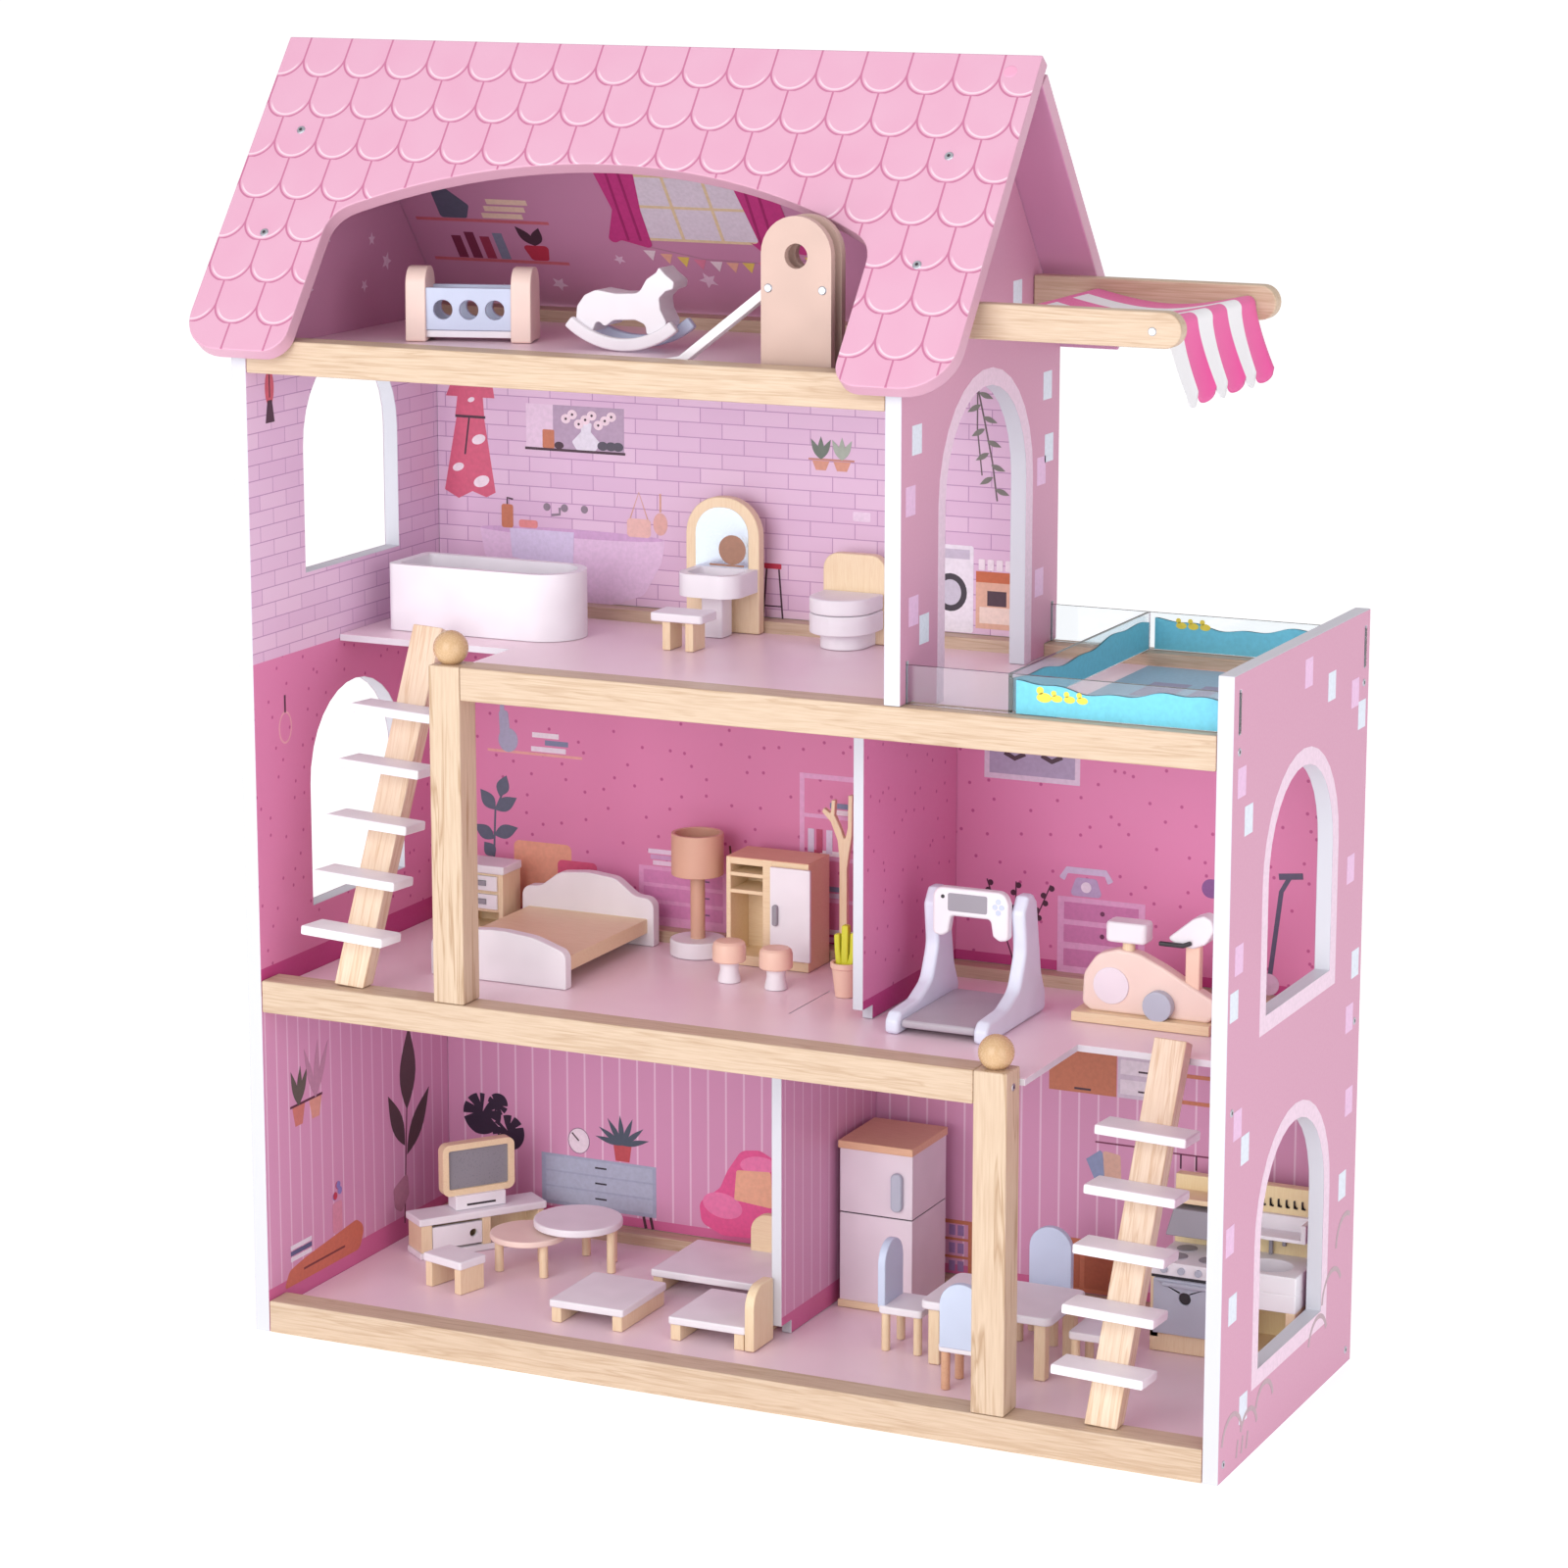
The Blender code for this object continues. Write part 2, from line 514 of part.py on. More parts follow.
def bedroom():
    """Nightstand, bed, lamp, wardrobe with its door, and the two round stools."""
    stand = FLOOR_FIRST + GAP
    carcass = block(-18.5, 18.5, -13.5, 15, 0, 47)
    slab = block(-20, 20, -15, 15, 46, 52.7)
    fronts = [block(-15, 15, -15, -12.5, z, z + 11.3) for z in (33.2, 18.9)]
    shelf = block(-14.5, 14.5, -20, 10, 4, 16)
    piece("nightstand", PEACH, [carcass, slab, *fronts], [shelf], at=(57.5, 241, stand))

    foot = plate("xz", crowned(-56.2, 56.2, 0, 27.7, 39.7), -76, -66.5)
    head = plate("xz", crowned(-56.2, 56.2, 0, 36.7, 51.7), 66, 76)
    base = block(-51, 51, -67.5, 67, 10, 21.2)
    piece("bed", BEECH, [foot, head, base], at=(141.8, 174.5, stand))

    profile = [(0, 0), (21, 0), (21, 10.5), (19, 12.7), (5.5, 12.7), (5.5, 73), (16.8, 73), (16.8, 61.7),
               (19.7, 61.7), (19.7, 93.7), (16.8, 93.7), (16.8, 77), (0, 77)]
    piece("floor_lamp", BEECH, [turned(profile, sides=18)], at=(237.5, 236.2, stand))

    carcass = block(-33.8, 33.8, -18.6, 18.6, 0, 82.2)
    bays = [block(-30, -4, -20, 12, low, high) for low, high in ((70.7, 76.7), (57.7, 67.7), (7.7, 54.7))]
    closet = block(4, 30, -20, 12, 9.5, 76.5)
    piece("wardrobe", PEACH, [carcass], [*bays, closet], at=(303.2, 237.7, stand))
    door = block(-32.8, 0, -3.2, 0, 8.3, 78.3)
    handle = block(-30.6, -25.1, -6, -2.2, 34, 50)
    piece("wardrobe_door", SKY, [door, handle], at=(339.6, 218.8, stand))

    profile = [(0, 0), (8.5, 0), (8.5, 15), (12.3, 15), (12.3, 21), (10.5, 27), (6, 30.4), (0, 31.2)]
    for name, x, y in (("mushroom_stool_left", 294, 173.5), ("mushroom_stool_right", 334, 169)):
        piece(name, PEACH, [turned(profile, sides=14)], at=(x, y, stand))


# ---------------------------------------------------------------- gym


def gym():
    """Treadmill and exercise bike."""
    stand = FLOOR_FIRST + GAP
    side = rounded([(-56, 0), (54, 0), (54, 14), (44, 22), (33, 84), (27, 90.7), (14, 90.7), (8, 84), (2, 22),
                    (-8, 15.7), (-56, 12)], (3, 4, 4, 8, 4, 3, 3, 4, 10, 6, 4))
    sides = [plate("yz", side, x, x + 11) for x in (-39.2, 28.2)]
    belt = block(-29.2, 29.2, -52, 48, 3.5, 10.7)
    console = plate("xz", rounded(rectangle(-29.2, 29.2, 58.7, 94.7), (3, 3, 9, 9)), 15, 22)
    piece("treadmill", PEACH, [*sides, belt, console], at=(495.2, 144, stand))

    base = plate("xy", rounded(rectangle(-52, 52, -14, 14), (6, 6, 6, 6)), 0, 7.2)
    hull = [(-46, 6), (54, 6), (54, 26), (30, 30), (4, 36), (-8, 52), (-18, 54), (-30, 50), (-44, 30)]
    frame = plate("xz", rounded(hull, (4, 4, 6, 0, 20, 6, 6, 12, 8)), -6, 6)
    disc = dowel((-24.5, -9.5, 27), (-24.5, -5, 27), 13, 14)
    crank = dowel((12.5, -9.5, 17), (12.5, -5, 17), 11.5, 14)
    seat = plate("xz", rounded(rectangle(-29, 1.5, 59, 74.2), (4, 4, 6, 6)), -9, 9)
    pin = dowel((-16, 0, 48), (-16, 0, 62), 3)
    post = block(29.5, 40.5, -4, 4, 24, 66)
    console = plate("xz", rounded(rectangle(17, 52, 63, 85), (4, 4, 6, 6)), -10, 10)
    shapes = [frame, base, disc, crank, pin, seat, post, console]
    piece("exercise_bike", BEECH, shapes, at=(613.5, 191, stand))


# ---------------------------------------------------------------- living room


def bench_shape(width, depth, height, slab, leg):
    """A slab on two upright boards that run from front to rear."""
    seat = block(-width / 2, width / 2, -depth / 2, depth / 2, height - slab, height)
    inset = 1.5
    ends = (-width / 2 + inset, width / 2 - inset - leg)
    return [seat, *(block(x, x + leg, -depth / 2 + 1.5, depth / 2 - 1.5, 0, height - slab + 1) for x in ends)]


def round_table(radius, height, top, leg):
    """A round top on three dowel legs."""
    shapes = [turned([(0, height - top), (radius, height - top), (radius, height), (0, height)], sides=24)]
    for k in range(3):
        angle = math.radians(90 + 120 * k)
        x, y = (radius - 7) * math.cos(angle), (radius - 7) * math.sin(angle)
        shapes.append(dowel((x, y, 0), (x, y, height - top + 1.5), leg))
    return shapes


def living_room():
    """Television on its cabinet, two nesting tables, a stool and the three-part sofa."""
    stand = FLOOR_GROUND + GAP
    turn = (0, 0, math.radians(53))
    cabinet = [block(2, 105, 1.5, 27, 0, 28), block(0, 107, 0, 28, 26.5, 32.5)]
    bays = [block(11, 53, 0, 24, 6.5, 24.5), block(60, 100, 0, 24, 5, 24.5)]
    piece("tv_cabinet", PEACH, cabinet, bays, at=(41.5, 152, stand), turn=turn)
    drawer = block(-20.6, 20.6, 0, 20, -8.6, 8.6)
    tray = block(-17.5, 17.5, 3.5, 17.5, -6.5, 10)
    finger_hole = dowel((0, -1, 0), (0, 4.5, 0), 4.5)
    piece("tv_cabinet_drawer", SKY, [drawer], [tray, finger_hole],
          at=(41.5 + 32 * math.cos(turn[2]) - 1.6 * math.sin(turn[2]),
              152 + 32 * math.sin(turn[2]) + 1.6 * math.cos(turn[2]), stand + 15.5), turn=turn)
    foot = block(-21, 21, -8, 8, 0, 11.5)
    neck = block(-9, 9, -3.5, 3.5, 5, 13)
    screen = plate("xz", rounded(rectangle(-30, 30, 11, 52), (6, 6, 6, 6)), -4.5, 4.5)
    recess = plate("xz", rectangle(-25, 25, 16, 47), -6, -3)
    piece("tv", SLATE, [screen, neck, foot], [recess], at=(62.5, 204.5, stand + 32.5 + GAP), turn=turn)

    stool = bench_shape(40, 28, 26, 6.5, 6.5)
    piece("living_stool", PEACH, stool, at=(95, 110.5, stand), turn=(0, 0, math.radians(-16)))
    piece("coffee_table_small", BEECH, round_table(29, 30.7, 5, 3.2), at=(126, 169, stand))
    big = [turned([(0, 33), (34, 33), (34, 39), (0, 39)], sides=24)]
    for x, y in ((18, 22), (29, -2), (-8, 28)):
        big.append(dowel((x, y, 0), (x, y, 34.5), 3.2))
    piece("coffee_table_big", BEECH, big, at=(157, 192, stand))

    piece("sofa_ottoman", SKY, bench_shape(61, 72, 17.4, 6, 8), at=(227.5, 104.5, stand))
    arm = plate("yz", rounded(rectangle(-36, -2.6, 2, 47.7), (4, 4, 12, 12)), 30.5, 38.2)
    seat = bench_shape(62, 71.8, 18, 6, 8)
    piece("sofa_corner", SKY, [*seat, arm], at=(325, 105.6, stand))
    back = plate("xz", rounded(rectangle(-8, 56, 2, 46.7), (4, 4, 14, 14)), 33, 40.5)
    piece("sofa_bench", SKY, [*bench_shape(112, 80, 17.7, 6, 8), back], at=(289, 202.5, stand))


# ---------------------------------------------------------------- kitchen


def kitchen():
    """Fridge, dining table with four chairs, and the cooker and sink on one back board."""
    stand = FLOOR_GROUND + GAP
    carcass = block(-29.2, 29.2, -31, 31.5, 5, 123)
    ends = [block(-30, 30, -33, 33, 0, 5.5), block(-30, 30, -33, 33, 122.2, 128.2)]
    handle = block(13, 22, -35.5, -30, 79, 108.5)
    groove = block(-40, 40, -40, -30, 72.4, 73.4)
    piece("fridge", WHITE, [carcass, *ends, handle], [groove], at=(403.8, 224, stand))

    top = plate("xy", rounded(rectangle(-50, 50, -36, 36), (6, 6, 6, 6)), 41.7, 48.2)
    legs = [block(x, x + 9, y, y + 9, 0, 43) for x in (-45, 36) for y in (-32, 23)]
    piece("dining_table", BEECH, [top, *legs], at=(530, 134.3, stand))

    seat = plate("xy", rounded(rectangle(-18, 18, -17, 17), (3, 3, 3, 3)), 28.2, 34.2)
    back = plate("xz", arched(-18.4, 18.4, 28.2, 80), -18, -12)
    legs = [dowel((x, y, 0), (x, y, 30), 3, 8) for x in (-13.5, 13.5) for y in (-12.5, 12.5)]
    first = piece("chair_front", PEACH, [seat, back, *legs], at=(530.5, 72.5, stand))
    for name, x, y, angle in (("chair_left", 458.2, 131, -90), ("chair_back", 538, 190.5, 180),
                              ("chair_right", 602.5, 136.5, 90)):
        mesh = first.data.copy()
        mesh.name = name
        place(name, mesh, (x, y, stand), (0, 0, math.radians(angle)))

    board = block(-55, 54.5, 21.5, 30.5, 0, 119)
    cooker = block(-55, 0, -27, 22.5, 0, 67.7)
    hood = block(-53, -2, -4, 22.5, 79.7, 100.7)
    basin = block(-1, 54.5, -27, 22.5, 41.7, 68.7)
    end = block(47, 54.5, -27, 22.5, 0, 43)
    shelf = block(4, 52, 0, 22.5, 85, 99.7)
    tap = dowel((27, 16, 66), (27, 16, 80), 2.5, 8)
    spout = dowel((27, 18, 79), (27, 0, 79), 2.5, 8)
    oven = block(-48, -7, -30, 14, 16.7, 55.7)
    bowl = turned([(0, 55), (14, 55), (18, 60), (18, 75), (0, 75)], 27, -6)
    recess = block(8, 48, -2, 18, 88, 110)
    piece("kitchen_unit", PEACH, [board, cooker, hood, basin, end, shelf, tap, spout], [oven, bowl, recess],
          at=(672, 226, stand))
    door = block(-24, 24, -3.2, 0, 0, 43)
    bar = block(-17, 17, -6, -2.2, 35, 38.5)
    piece("oven_door", SKY, [door, bar], at=(672 - 27.5, 226 - 27 - GAP, stand + 14.7))


def centre_the_house():
    """Moves the empty so that the origin lies under the middle of all pieces."""
    bpy.context.view_layer.update()
    points = [part.matrix_world @ vertex.co for part in house.children for vertex in part.data.vertices]
    middle = [(min(p[axis] for p in points) + max(p[axis] for p in points)) / 2 for axis in (0, 1)]
    house.location = (-middle[0], -middle[1], 0)
    bpy.context.view_layer.update()


def main():
    """Clears the scene and builds the house from the ground up."""
    global house
    for old in list(bpy.data.objects):
        bpy.data.objects.remove(old)
    house = bpy.data.objects.new("house", None)
    bpy.context.scene.collection.objects.link(house)
    walls()
    storeys()
    posts_and_partitions()
    roof()
    balcony()
    ladders()
    attic()
    bathroom()
    bedroom()
    gym()
    living_room()
    kitchen()
    centre_the_house()


main()
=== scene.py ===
"""Looks of the wooden dollhouse: printed boards, lacquered timber, painted furniture and a cotton awning."""

import json
import logging
import math
from dataclasses import dataclass, field
from enum import Enum
from typing import Iterable, Sequence

import bmesh
import bpy
from mathutils import Matrix, Vector
from mathutils.geometry import tessellate_polygon

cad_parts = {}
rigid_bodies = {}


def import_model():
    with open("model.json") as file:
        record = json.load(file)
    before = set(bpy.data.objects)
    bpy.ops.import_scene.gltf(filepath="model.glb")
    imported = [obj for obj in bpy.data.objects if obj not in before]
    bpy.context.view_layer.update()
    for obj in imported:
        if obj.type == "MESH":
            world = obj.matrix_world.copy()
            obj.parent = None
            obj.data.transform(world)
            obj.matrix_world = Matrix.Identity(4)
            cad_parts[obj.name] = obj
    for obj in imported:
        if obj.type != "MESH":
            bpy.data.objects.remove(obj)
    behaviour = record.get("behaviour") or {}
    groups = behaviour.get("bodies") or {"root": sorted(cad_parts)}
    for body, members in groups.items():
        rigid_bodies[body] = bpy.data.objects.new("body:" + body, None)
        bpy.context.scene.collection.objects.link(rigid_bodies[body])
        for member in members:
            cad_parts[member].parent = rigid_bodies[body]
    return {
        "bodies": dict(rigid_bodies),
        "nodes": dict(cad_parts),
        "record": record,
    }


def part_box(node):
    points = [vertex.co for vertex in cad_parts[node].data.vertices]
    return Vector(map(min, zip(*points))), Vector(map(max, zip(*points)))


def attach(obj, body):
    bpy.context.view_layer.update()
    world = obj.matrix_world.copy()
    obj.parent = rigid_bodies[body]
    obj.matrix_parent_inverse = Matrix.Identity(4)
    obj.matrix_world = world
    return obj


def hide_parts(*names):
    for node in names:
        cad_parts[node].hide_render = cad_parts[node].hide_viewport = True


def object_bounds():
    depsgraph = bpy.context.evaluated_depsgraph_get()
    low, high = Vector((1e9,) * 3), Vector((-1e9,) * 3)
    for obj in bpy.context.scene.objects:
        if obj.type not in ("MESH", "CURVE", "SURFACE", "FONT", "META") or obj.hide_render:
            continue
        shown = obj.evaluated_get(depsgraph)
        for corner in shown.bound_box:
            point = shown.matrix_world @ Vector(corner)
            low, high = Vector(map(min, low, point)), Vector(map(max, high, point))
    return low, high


LOG = logging.getLogger("dollhouse")
Point = tuple[float, float]
Outline = list[Vector]
Points = Iterable[Sequence[float]]
Path = Sequence[Sequence[float]]
Heads = Sequence[tuple[Sequence[float], Sequence[float]]]
BMesh = bmesh.types.BMesh
Socket = bpy.types.NodeSocket
Material = bpy.types.Material
Object = bpy.types.Object

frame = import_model()
CAD_LOW, CAD_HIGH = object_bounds()

MM = 0.001
ARC_STEP = math.radians(12)
WALL_THICK = 12.0
RAIL = 24.0  # side of the square beams and rails
PRINT_THICK = 0.12  # a layer of ink, drawn thick enough to be a shape of its own
INK_STEP = 0.0006  # keeps overlapping prints of one layer out of one plane
GAP = 0.3  # clearance between boards
PARTITION_FRONT = 104.0
PITCH = math.radians(52.3)  # the roof's tilt
SHARP = math.radians(32)  # edges sharper than this stay crisp or are rounded


def node_box(name: str) -> tuple[Vector, Vector]:
    """Lowest and highest corner of a frame node in millimetres.

    Args:
        name: the frame node.

    Returns:
        The two corners.
    """
    low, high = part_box(name)
    return Vector(low) / MM, Vector(high) / MM


INNER_LEFT = node_box("left_wall")[1].x
FRONT = node_box("left_wall")[0].y
DEPTH = node_box("left_wall")[1].y - FRONT
INNER_RIGHT = node_box("right_wall")[0].x
LEVELS = {"ground": node_box("base_deck")[1].z, "first": node_box("floor_first")[1].z,
    "second": node_box("floor_second")[1].z, "attic": node_box("floor_attic")[1].z}
FLOOR_DROP = 9.0  # the floors lie this far below the beams' tops


# ---------------------------------------------------------------- outlines


def arc(x: float, y: float, radius: float, start: float, end: float, steps: int = 0) -> Outline:
    """Points on an arc.

    Args:
        x, y: the centre.
        radius: the radius.
        start, end: angles in degrees.
        steps: how many steps, or 0 for a step of about ARC_STEP.

    Returns:
        The points from start to end.
    """
    steps = steps or max(1, math.ceil(math.radians(abs(end - start)) / ARC_STEP))
    angles = (math.radians(start + (end - start) * k / steps) for k in range(steps + 1))
    return [Vector((x + radius * math.cos(a), y + radius * math.sin(a))) for a in angles]


def oval(x: float, y: float, wide: float, high: float, turn: float = 0) -> Outline:
    """A full ellipse outline.

    Args:
        x, y: the centre.
        wide, high: its half width and half height.
        turn: its tilt in degrees.

    Returns:
        The closed outline.
    """
    tilt = Matrix.Rotation(math.radians(turn), 2)
    ring = (math.tau * k / 24 for k in range(24))
    return [Vector((x, y)) + tilt @ Vector((wide * math.cos(a), high * math.sin(a))) for a in ring]


def rounded(points: Path, radii: Sequence[float] | float) -> Outline:
    """Turns each corner of an outline into an arc.

    Args:
        points: the corners.
        radii: one radius for each corner, or one for all.

    Returns:
        The outline with round corners.
    """
    radii = [radii] * len(points) if isinstance(radii, (int, float)) else radii
    out: Outline = []
    for i, radius in enumerate(radii):
        corner = Vector(points[i])
        if not radius:
            out.append(corner)
            continue
        to_last = (Vector(points[i - 1]) - corner).normalized()
        to_next = (Vector(points[(i + 1) % len(points)]) - corner).normalized()
        half = to_last.angle(to_next) / 2
        centre = corner + (to_last + to_next).normalized() * radius / math.sin(half)
        first = corner + to_last * radius / math.tan(half) - centre
        last = corner + to_next * radius / math.tan(half) - centre
        start = math.atan2(first.y, first.x)
        sweep = (math.atan2(last.y, last.x) - start + math.pi) % math.tau - math.pi
        out += arc(centre.x, centre.y, radius, math.degrees(start), math.degrees(start + sweep))
    return out


def rect(left: float, right: float, low: float, high: float, radii: Sequence[float] | float = 0) -> Outline:
    """A rectangle, anticlockwise from its lower left corner.

    Args:
        left, right, low, high: its edges.
        radii: one radius for each corner, or one for all.

    Returns:
        The outline.
    """
    return rounded([(left, low), (right, low), (right, high), (left, high)], radii)


def arched(left: float, right: float, low: float, high: float) -> Outline:
    """A door or window outline whose top is a half circle.

    Args:
        left, right, low, high: its edges.

    Returns:
        The outline.
    """
    radius = (right - left) / 2 - 0.01
    return rect(left, right, low, high, (0, 0, radius, radius))


def ribbon(path: Path, thick: float) -> Outline:
    """A strip of even thickness centred on a path.

    Args:
        path: points along the middle of the strip.
        thick: its thickness.

    Returns:
        The closed outline.
    """
    over: Outline = []
    under: Outline = []
    for i, point in enumerate(path):
        before, after = Vector(path[max(i - 1, 0)]), Vector(path[min(i + 1, len(path) - 1)])
        along = (after - before).normalized()
        side = Vector((-along.y, along.x)) * thick / 2
        over.append(Vector(point) + side)
        under.append(Vector(point) - side)
    return over + under[::-1]


def leaf(x: float, y: float, length: float, wide: float, turn: float) -> Outline:
    """A pointed leaf that grows from its stalk.

    Args:
        x, y: the stalk's end.
        length, wide: the leaf's size.
        turn: its direction in degrees from upright, anticlockwise.

    Returns:
        The outline.
    """
    tilt = Matrix.Rotation(math.radians(turn), 2)
    right = [Vector((wide / 2 * math.sin(math.pi * t) * (1.25 - 0.5 * t), length * t))
        for t in (k / 9 for k in range(1, 9))]
    left = [Vector((-p.x, p.y)) for p in right[::-1]]
    loop = [Vector((0, 0)), *right, Vector((0, length)), *left]
    return [Vector((x, y)) + tilt @ p for p in loop]


def split_leaf(x: float, y: float, radius: float, turn: float) -> Outline:
    """A broad leaf with deep splits round its edge.

    Args:
        x, y: its middle.
        radius: its reach at the tip.
        turn: the tip's direction in degrees from upright, anticlockwise.

    Returns:
        The outline.
    """
    out: Outline = []
    for k in range(61):
        bearing = -168 + 336 * k / 60
        reach = radius * (1 - 0.22 * abs(bearing) / 168) * (0.5 if k % 8 == 4 and k not in (28, 36) else 1)
        angle = math.radians(90 + turn + bearing)
        out.append(Vector((x + reach * math.cos(angle), y + reach * math.sin(angle))))
    return [*out, Vector((x, y))]


def star(x: float, y: float, radius: float, turn: float) -> Outline:
    """A five-pointed star.

    Args:
        x, y: the centre.
        radius: centre to tip.
        turn: its tilt in degrees.

    Returns:
        The outline.
    """
    out: Outline = []
    for k in range(10):
        angle = math.radians(90 + turn + 36 * k)
        reach = radius * (0.45 if k % 2 else 1)
        out.append(Vector((x + reach * math.cos(angle), y + reach * math.sin(angle))))
    return out


# ---------------------------------------------------------------- mesh building

SAME_POINT = 0.02
AXES = {"xy": (0, 1, 2), "xz": (0, 2, 1), "yz": (1, 2, 0)}


def add_plate(mesh: BMesh, plane: str, outline: Points, start: float, end: float,
              holes: Iterable[Points] = ()) -> None:
    """Adds a board cut to an outline to a mesh, in millimetres.

    Args:
        mesh: the mesh that takes the board.
        plane: the plane of the outline, a key of AXES.
        outline: its edge.
        start, end: where it starts and ends along the axis square to the plane.
        holes: outlines that are cut through it.
    """
    loops = []
    for loop in (outline, *holes):
        points = [Vector(point) for point in loop]
        loops.append([p for i, p in enumerate(points) if (p - points[i - 1]).length > SAME_POINT])
    points = [point for loop in loops for point in loop]
    caps = tessellate_polygon([[point.to_3d() for point in loop] for loop in loops])
    across, up, through = AXES[plane]
    layers = []
    for depth in (start, end):
        layer = []
        for point in points:
            place = Vector((0, 0, 0))
            place[across], place[up], place[through] = point.x, point.y, depth
            layer.append(mesh.verts.new(place))
        layers.append(layer)
    near, far = layers
    if len(loops) == 1:
        mesh.faces.new(near)
        mesh.faces.new(far)
    else:
        for cap in caps:
            mesh.faces.new([near[i] for i in cap])
            mesh.faces.new([far[i] for i in cap])
    first = 0
    for loop in loops:
        for i in range(len(loop)):
            a, b = first + i, first + (i + 1) % len(loop)
            mesh.faces.new((near[a], near[b], far[b], far[a]))
        first += len(loop)


def add_turned(mesh: BMesh, profile: Sequence[Point], x: float = 0, y: float = 0,
               sides: int = 40) -> list[bmesh.types.BMVert]:
    """Adds a lathe-turned solid on an upright axis to a mesh, in millimetres.

    Args:
        mesh: the mesh that takes it.
        profile: (radius, height) points from axis to axis.
        x, y: the axis.
        sides: faces round it.

    Returns:
        The new points.
    """
    rows = []
    made = []
    for radius, height in profile:
        if radius == 0:
            tip = mesh.verts.new((x, y, height))
            rows.append([tip] * sides)
            made.append(tip)
            continue
        ring = [mesh.verts.new((x + radius * math.cos(a), y + radius * math.sin(a), height))
            for a in (math.tau * k / sides for k in range(sides))]
        rows.append(ring)
        made += ring
    for low, high in zip(rows, rows[1:]):
        for k in range(sides):
            n = (k + 1) % sides
            mesh.faces.new(list(dict.fromkeys((low[k], low[n], high[n], high[k]))))
    return made


# ---------------------------------------------------------------- finishes


def linear(colour: str) -> tuple[float, float, float, float]:
    """Turns an sRGB hex colour into linear RGBA.

    Args:
        colour: such as "#E9D2B4".

    Returns:
        Linear red, green, blue and full alpha.
    """
    channels = [int(colour[i:i + 2], 16) / 255 for i in (1, 3, 5)]
    return (*(c / 12.92 if c <= 0.04045 else ((c + 0.055) / 1.055) ** 2.4 for c in channels), 1.0)


BLEND = {"data_type": "RGBA", "out": "Result"}


def feed(tree: bpy.types.NodeTree, sockets: Iterable[Socket], values: Iterable[object]) -> None:
    """Links or sets sockets.

    Args:
        tree: their tree.
        sockets: the inputs.
        values: a socket, a value or a hex colour for each.
    """
    for socket, value in zip(sockets, values):
        if isinstance(value, Socket):
            tree.links.new(value, socket)
        else:
            socket.default_value = linear(value) if str(value).startswith("#") else value


def add_node(tree: bpy.types.NodeTree, kind: str, *values: object, out: int | str = 0,
             **named: object) -> Socket:
    """Adds one node with its settings and links.

    Args:
        tree: the tree that takes it.
        kind: the node's type.
        values: values, hex colours or sockets for its inputs in order.
        out: which output to return.
        named: a capitalised key is an input, with _ for a space; another is a setting of the node.

    Returns:
        The chosen output.
    """
    node = tree.nodes.new(kind)
    for key in [key for key in named if key[0].islower()]:
        setattr(node, key, named.pop(key))
    feed(tree, [socket for socket in node.inputs if socket.enabled], values)
    feed(tree, [node.inputs[key.replace("_", " ")] for key in named], named.values())
    return node.outputs[out]


class Shader:
    """A material under construction, with its Principled surface and object coordinates in millimetres."""

    def __init__(self, name: str) -> None:
        """Starts an empty material of this name."""
        self.material = bpy.data.materials.new(name)
        self.material.use_nodes = True
        self.tree = self.material.node_tree
        self.surface = self.tree.nodes["Principled BSDF"]
        self.place = self.add("VectorMath", self.add("TexCoord", out="Object"), (1 / MM,) * 3,
            operation="MULTIPLY")

    def add(self, kind: str, *values: object, **named: object) -> Socket:
        """Adds a shader node, as add_node does."""
        return add_node(self.tree, "ShaderNode" + kind, *values, **named)

    def finish(self, colour: object, roughness: object, height: object = None, depth: float = 0.05,
               **named: object) -> Material:
        """Sets the surface and its bump.

        Args:
            colour: hex colour or socket.
            roughness: value or socket.
            height: a socket that says where the surface stands proud, or None.
            depth: how far proud, in millimetres.
            named: further Principled inputs, with _ for a space.

        Returns:
            The finished material.
        """
        named |= {"Base_Color": colour, "Roughness": roughness}
        if height is not None:
            named["Normal"] = self.add("Bump", Height=height, Distance=depth * MM, Strength=0.6)
        feed(self.tree, [self.surface.inputs[key.replace("_", " ")] for key in named], named.values())
        return self.material


@dataclass(frozen=True)
class Finish:
    """A finish on a piece, with the record's slot that it stands for."""

    name: str
    slot: str

    def material(self) -> Material:
        """Finds the material, or builds it the first time."""
        return bpy.data.materials.get(self.name) or self.build()

    def build(self) -> Material:
        """Builds the material."""
        raise NotImplementedError


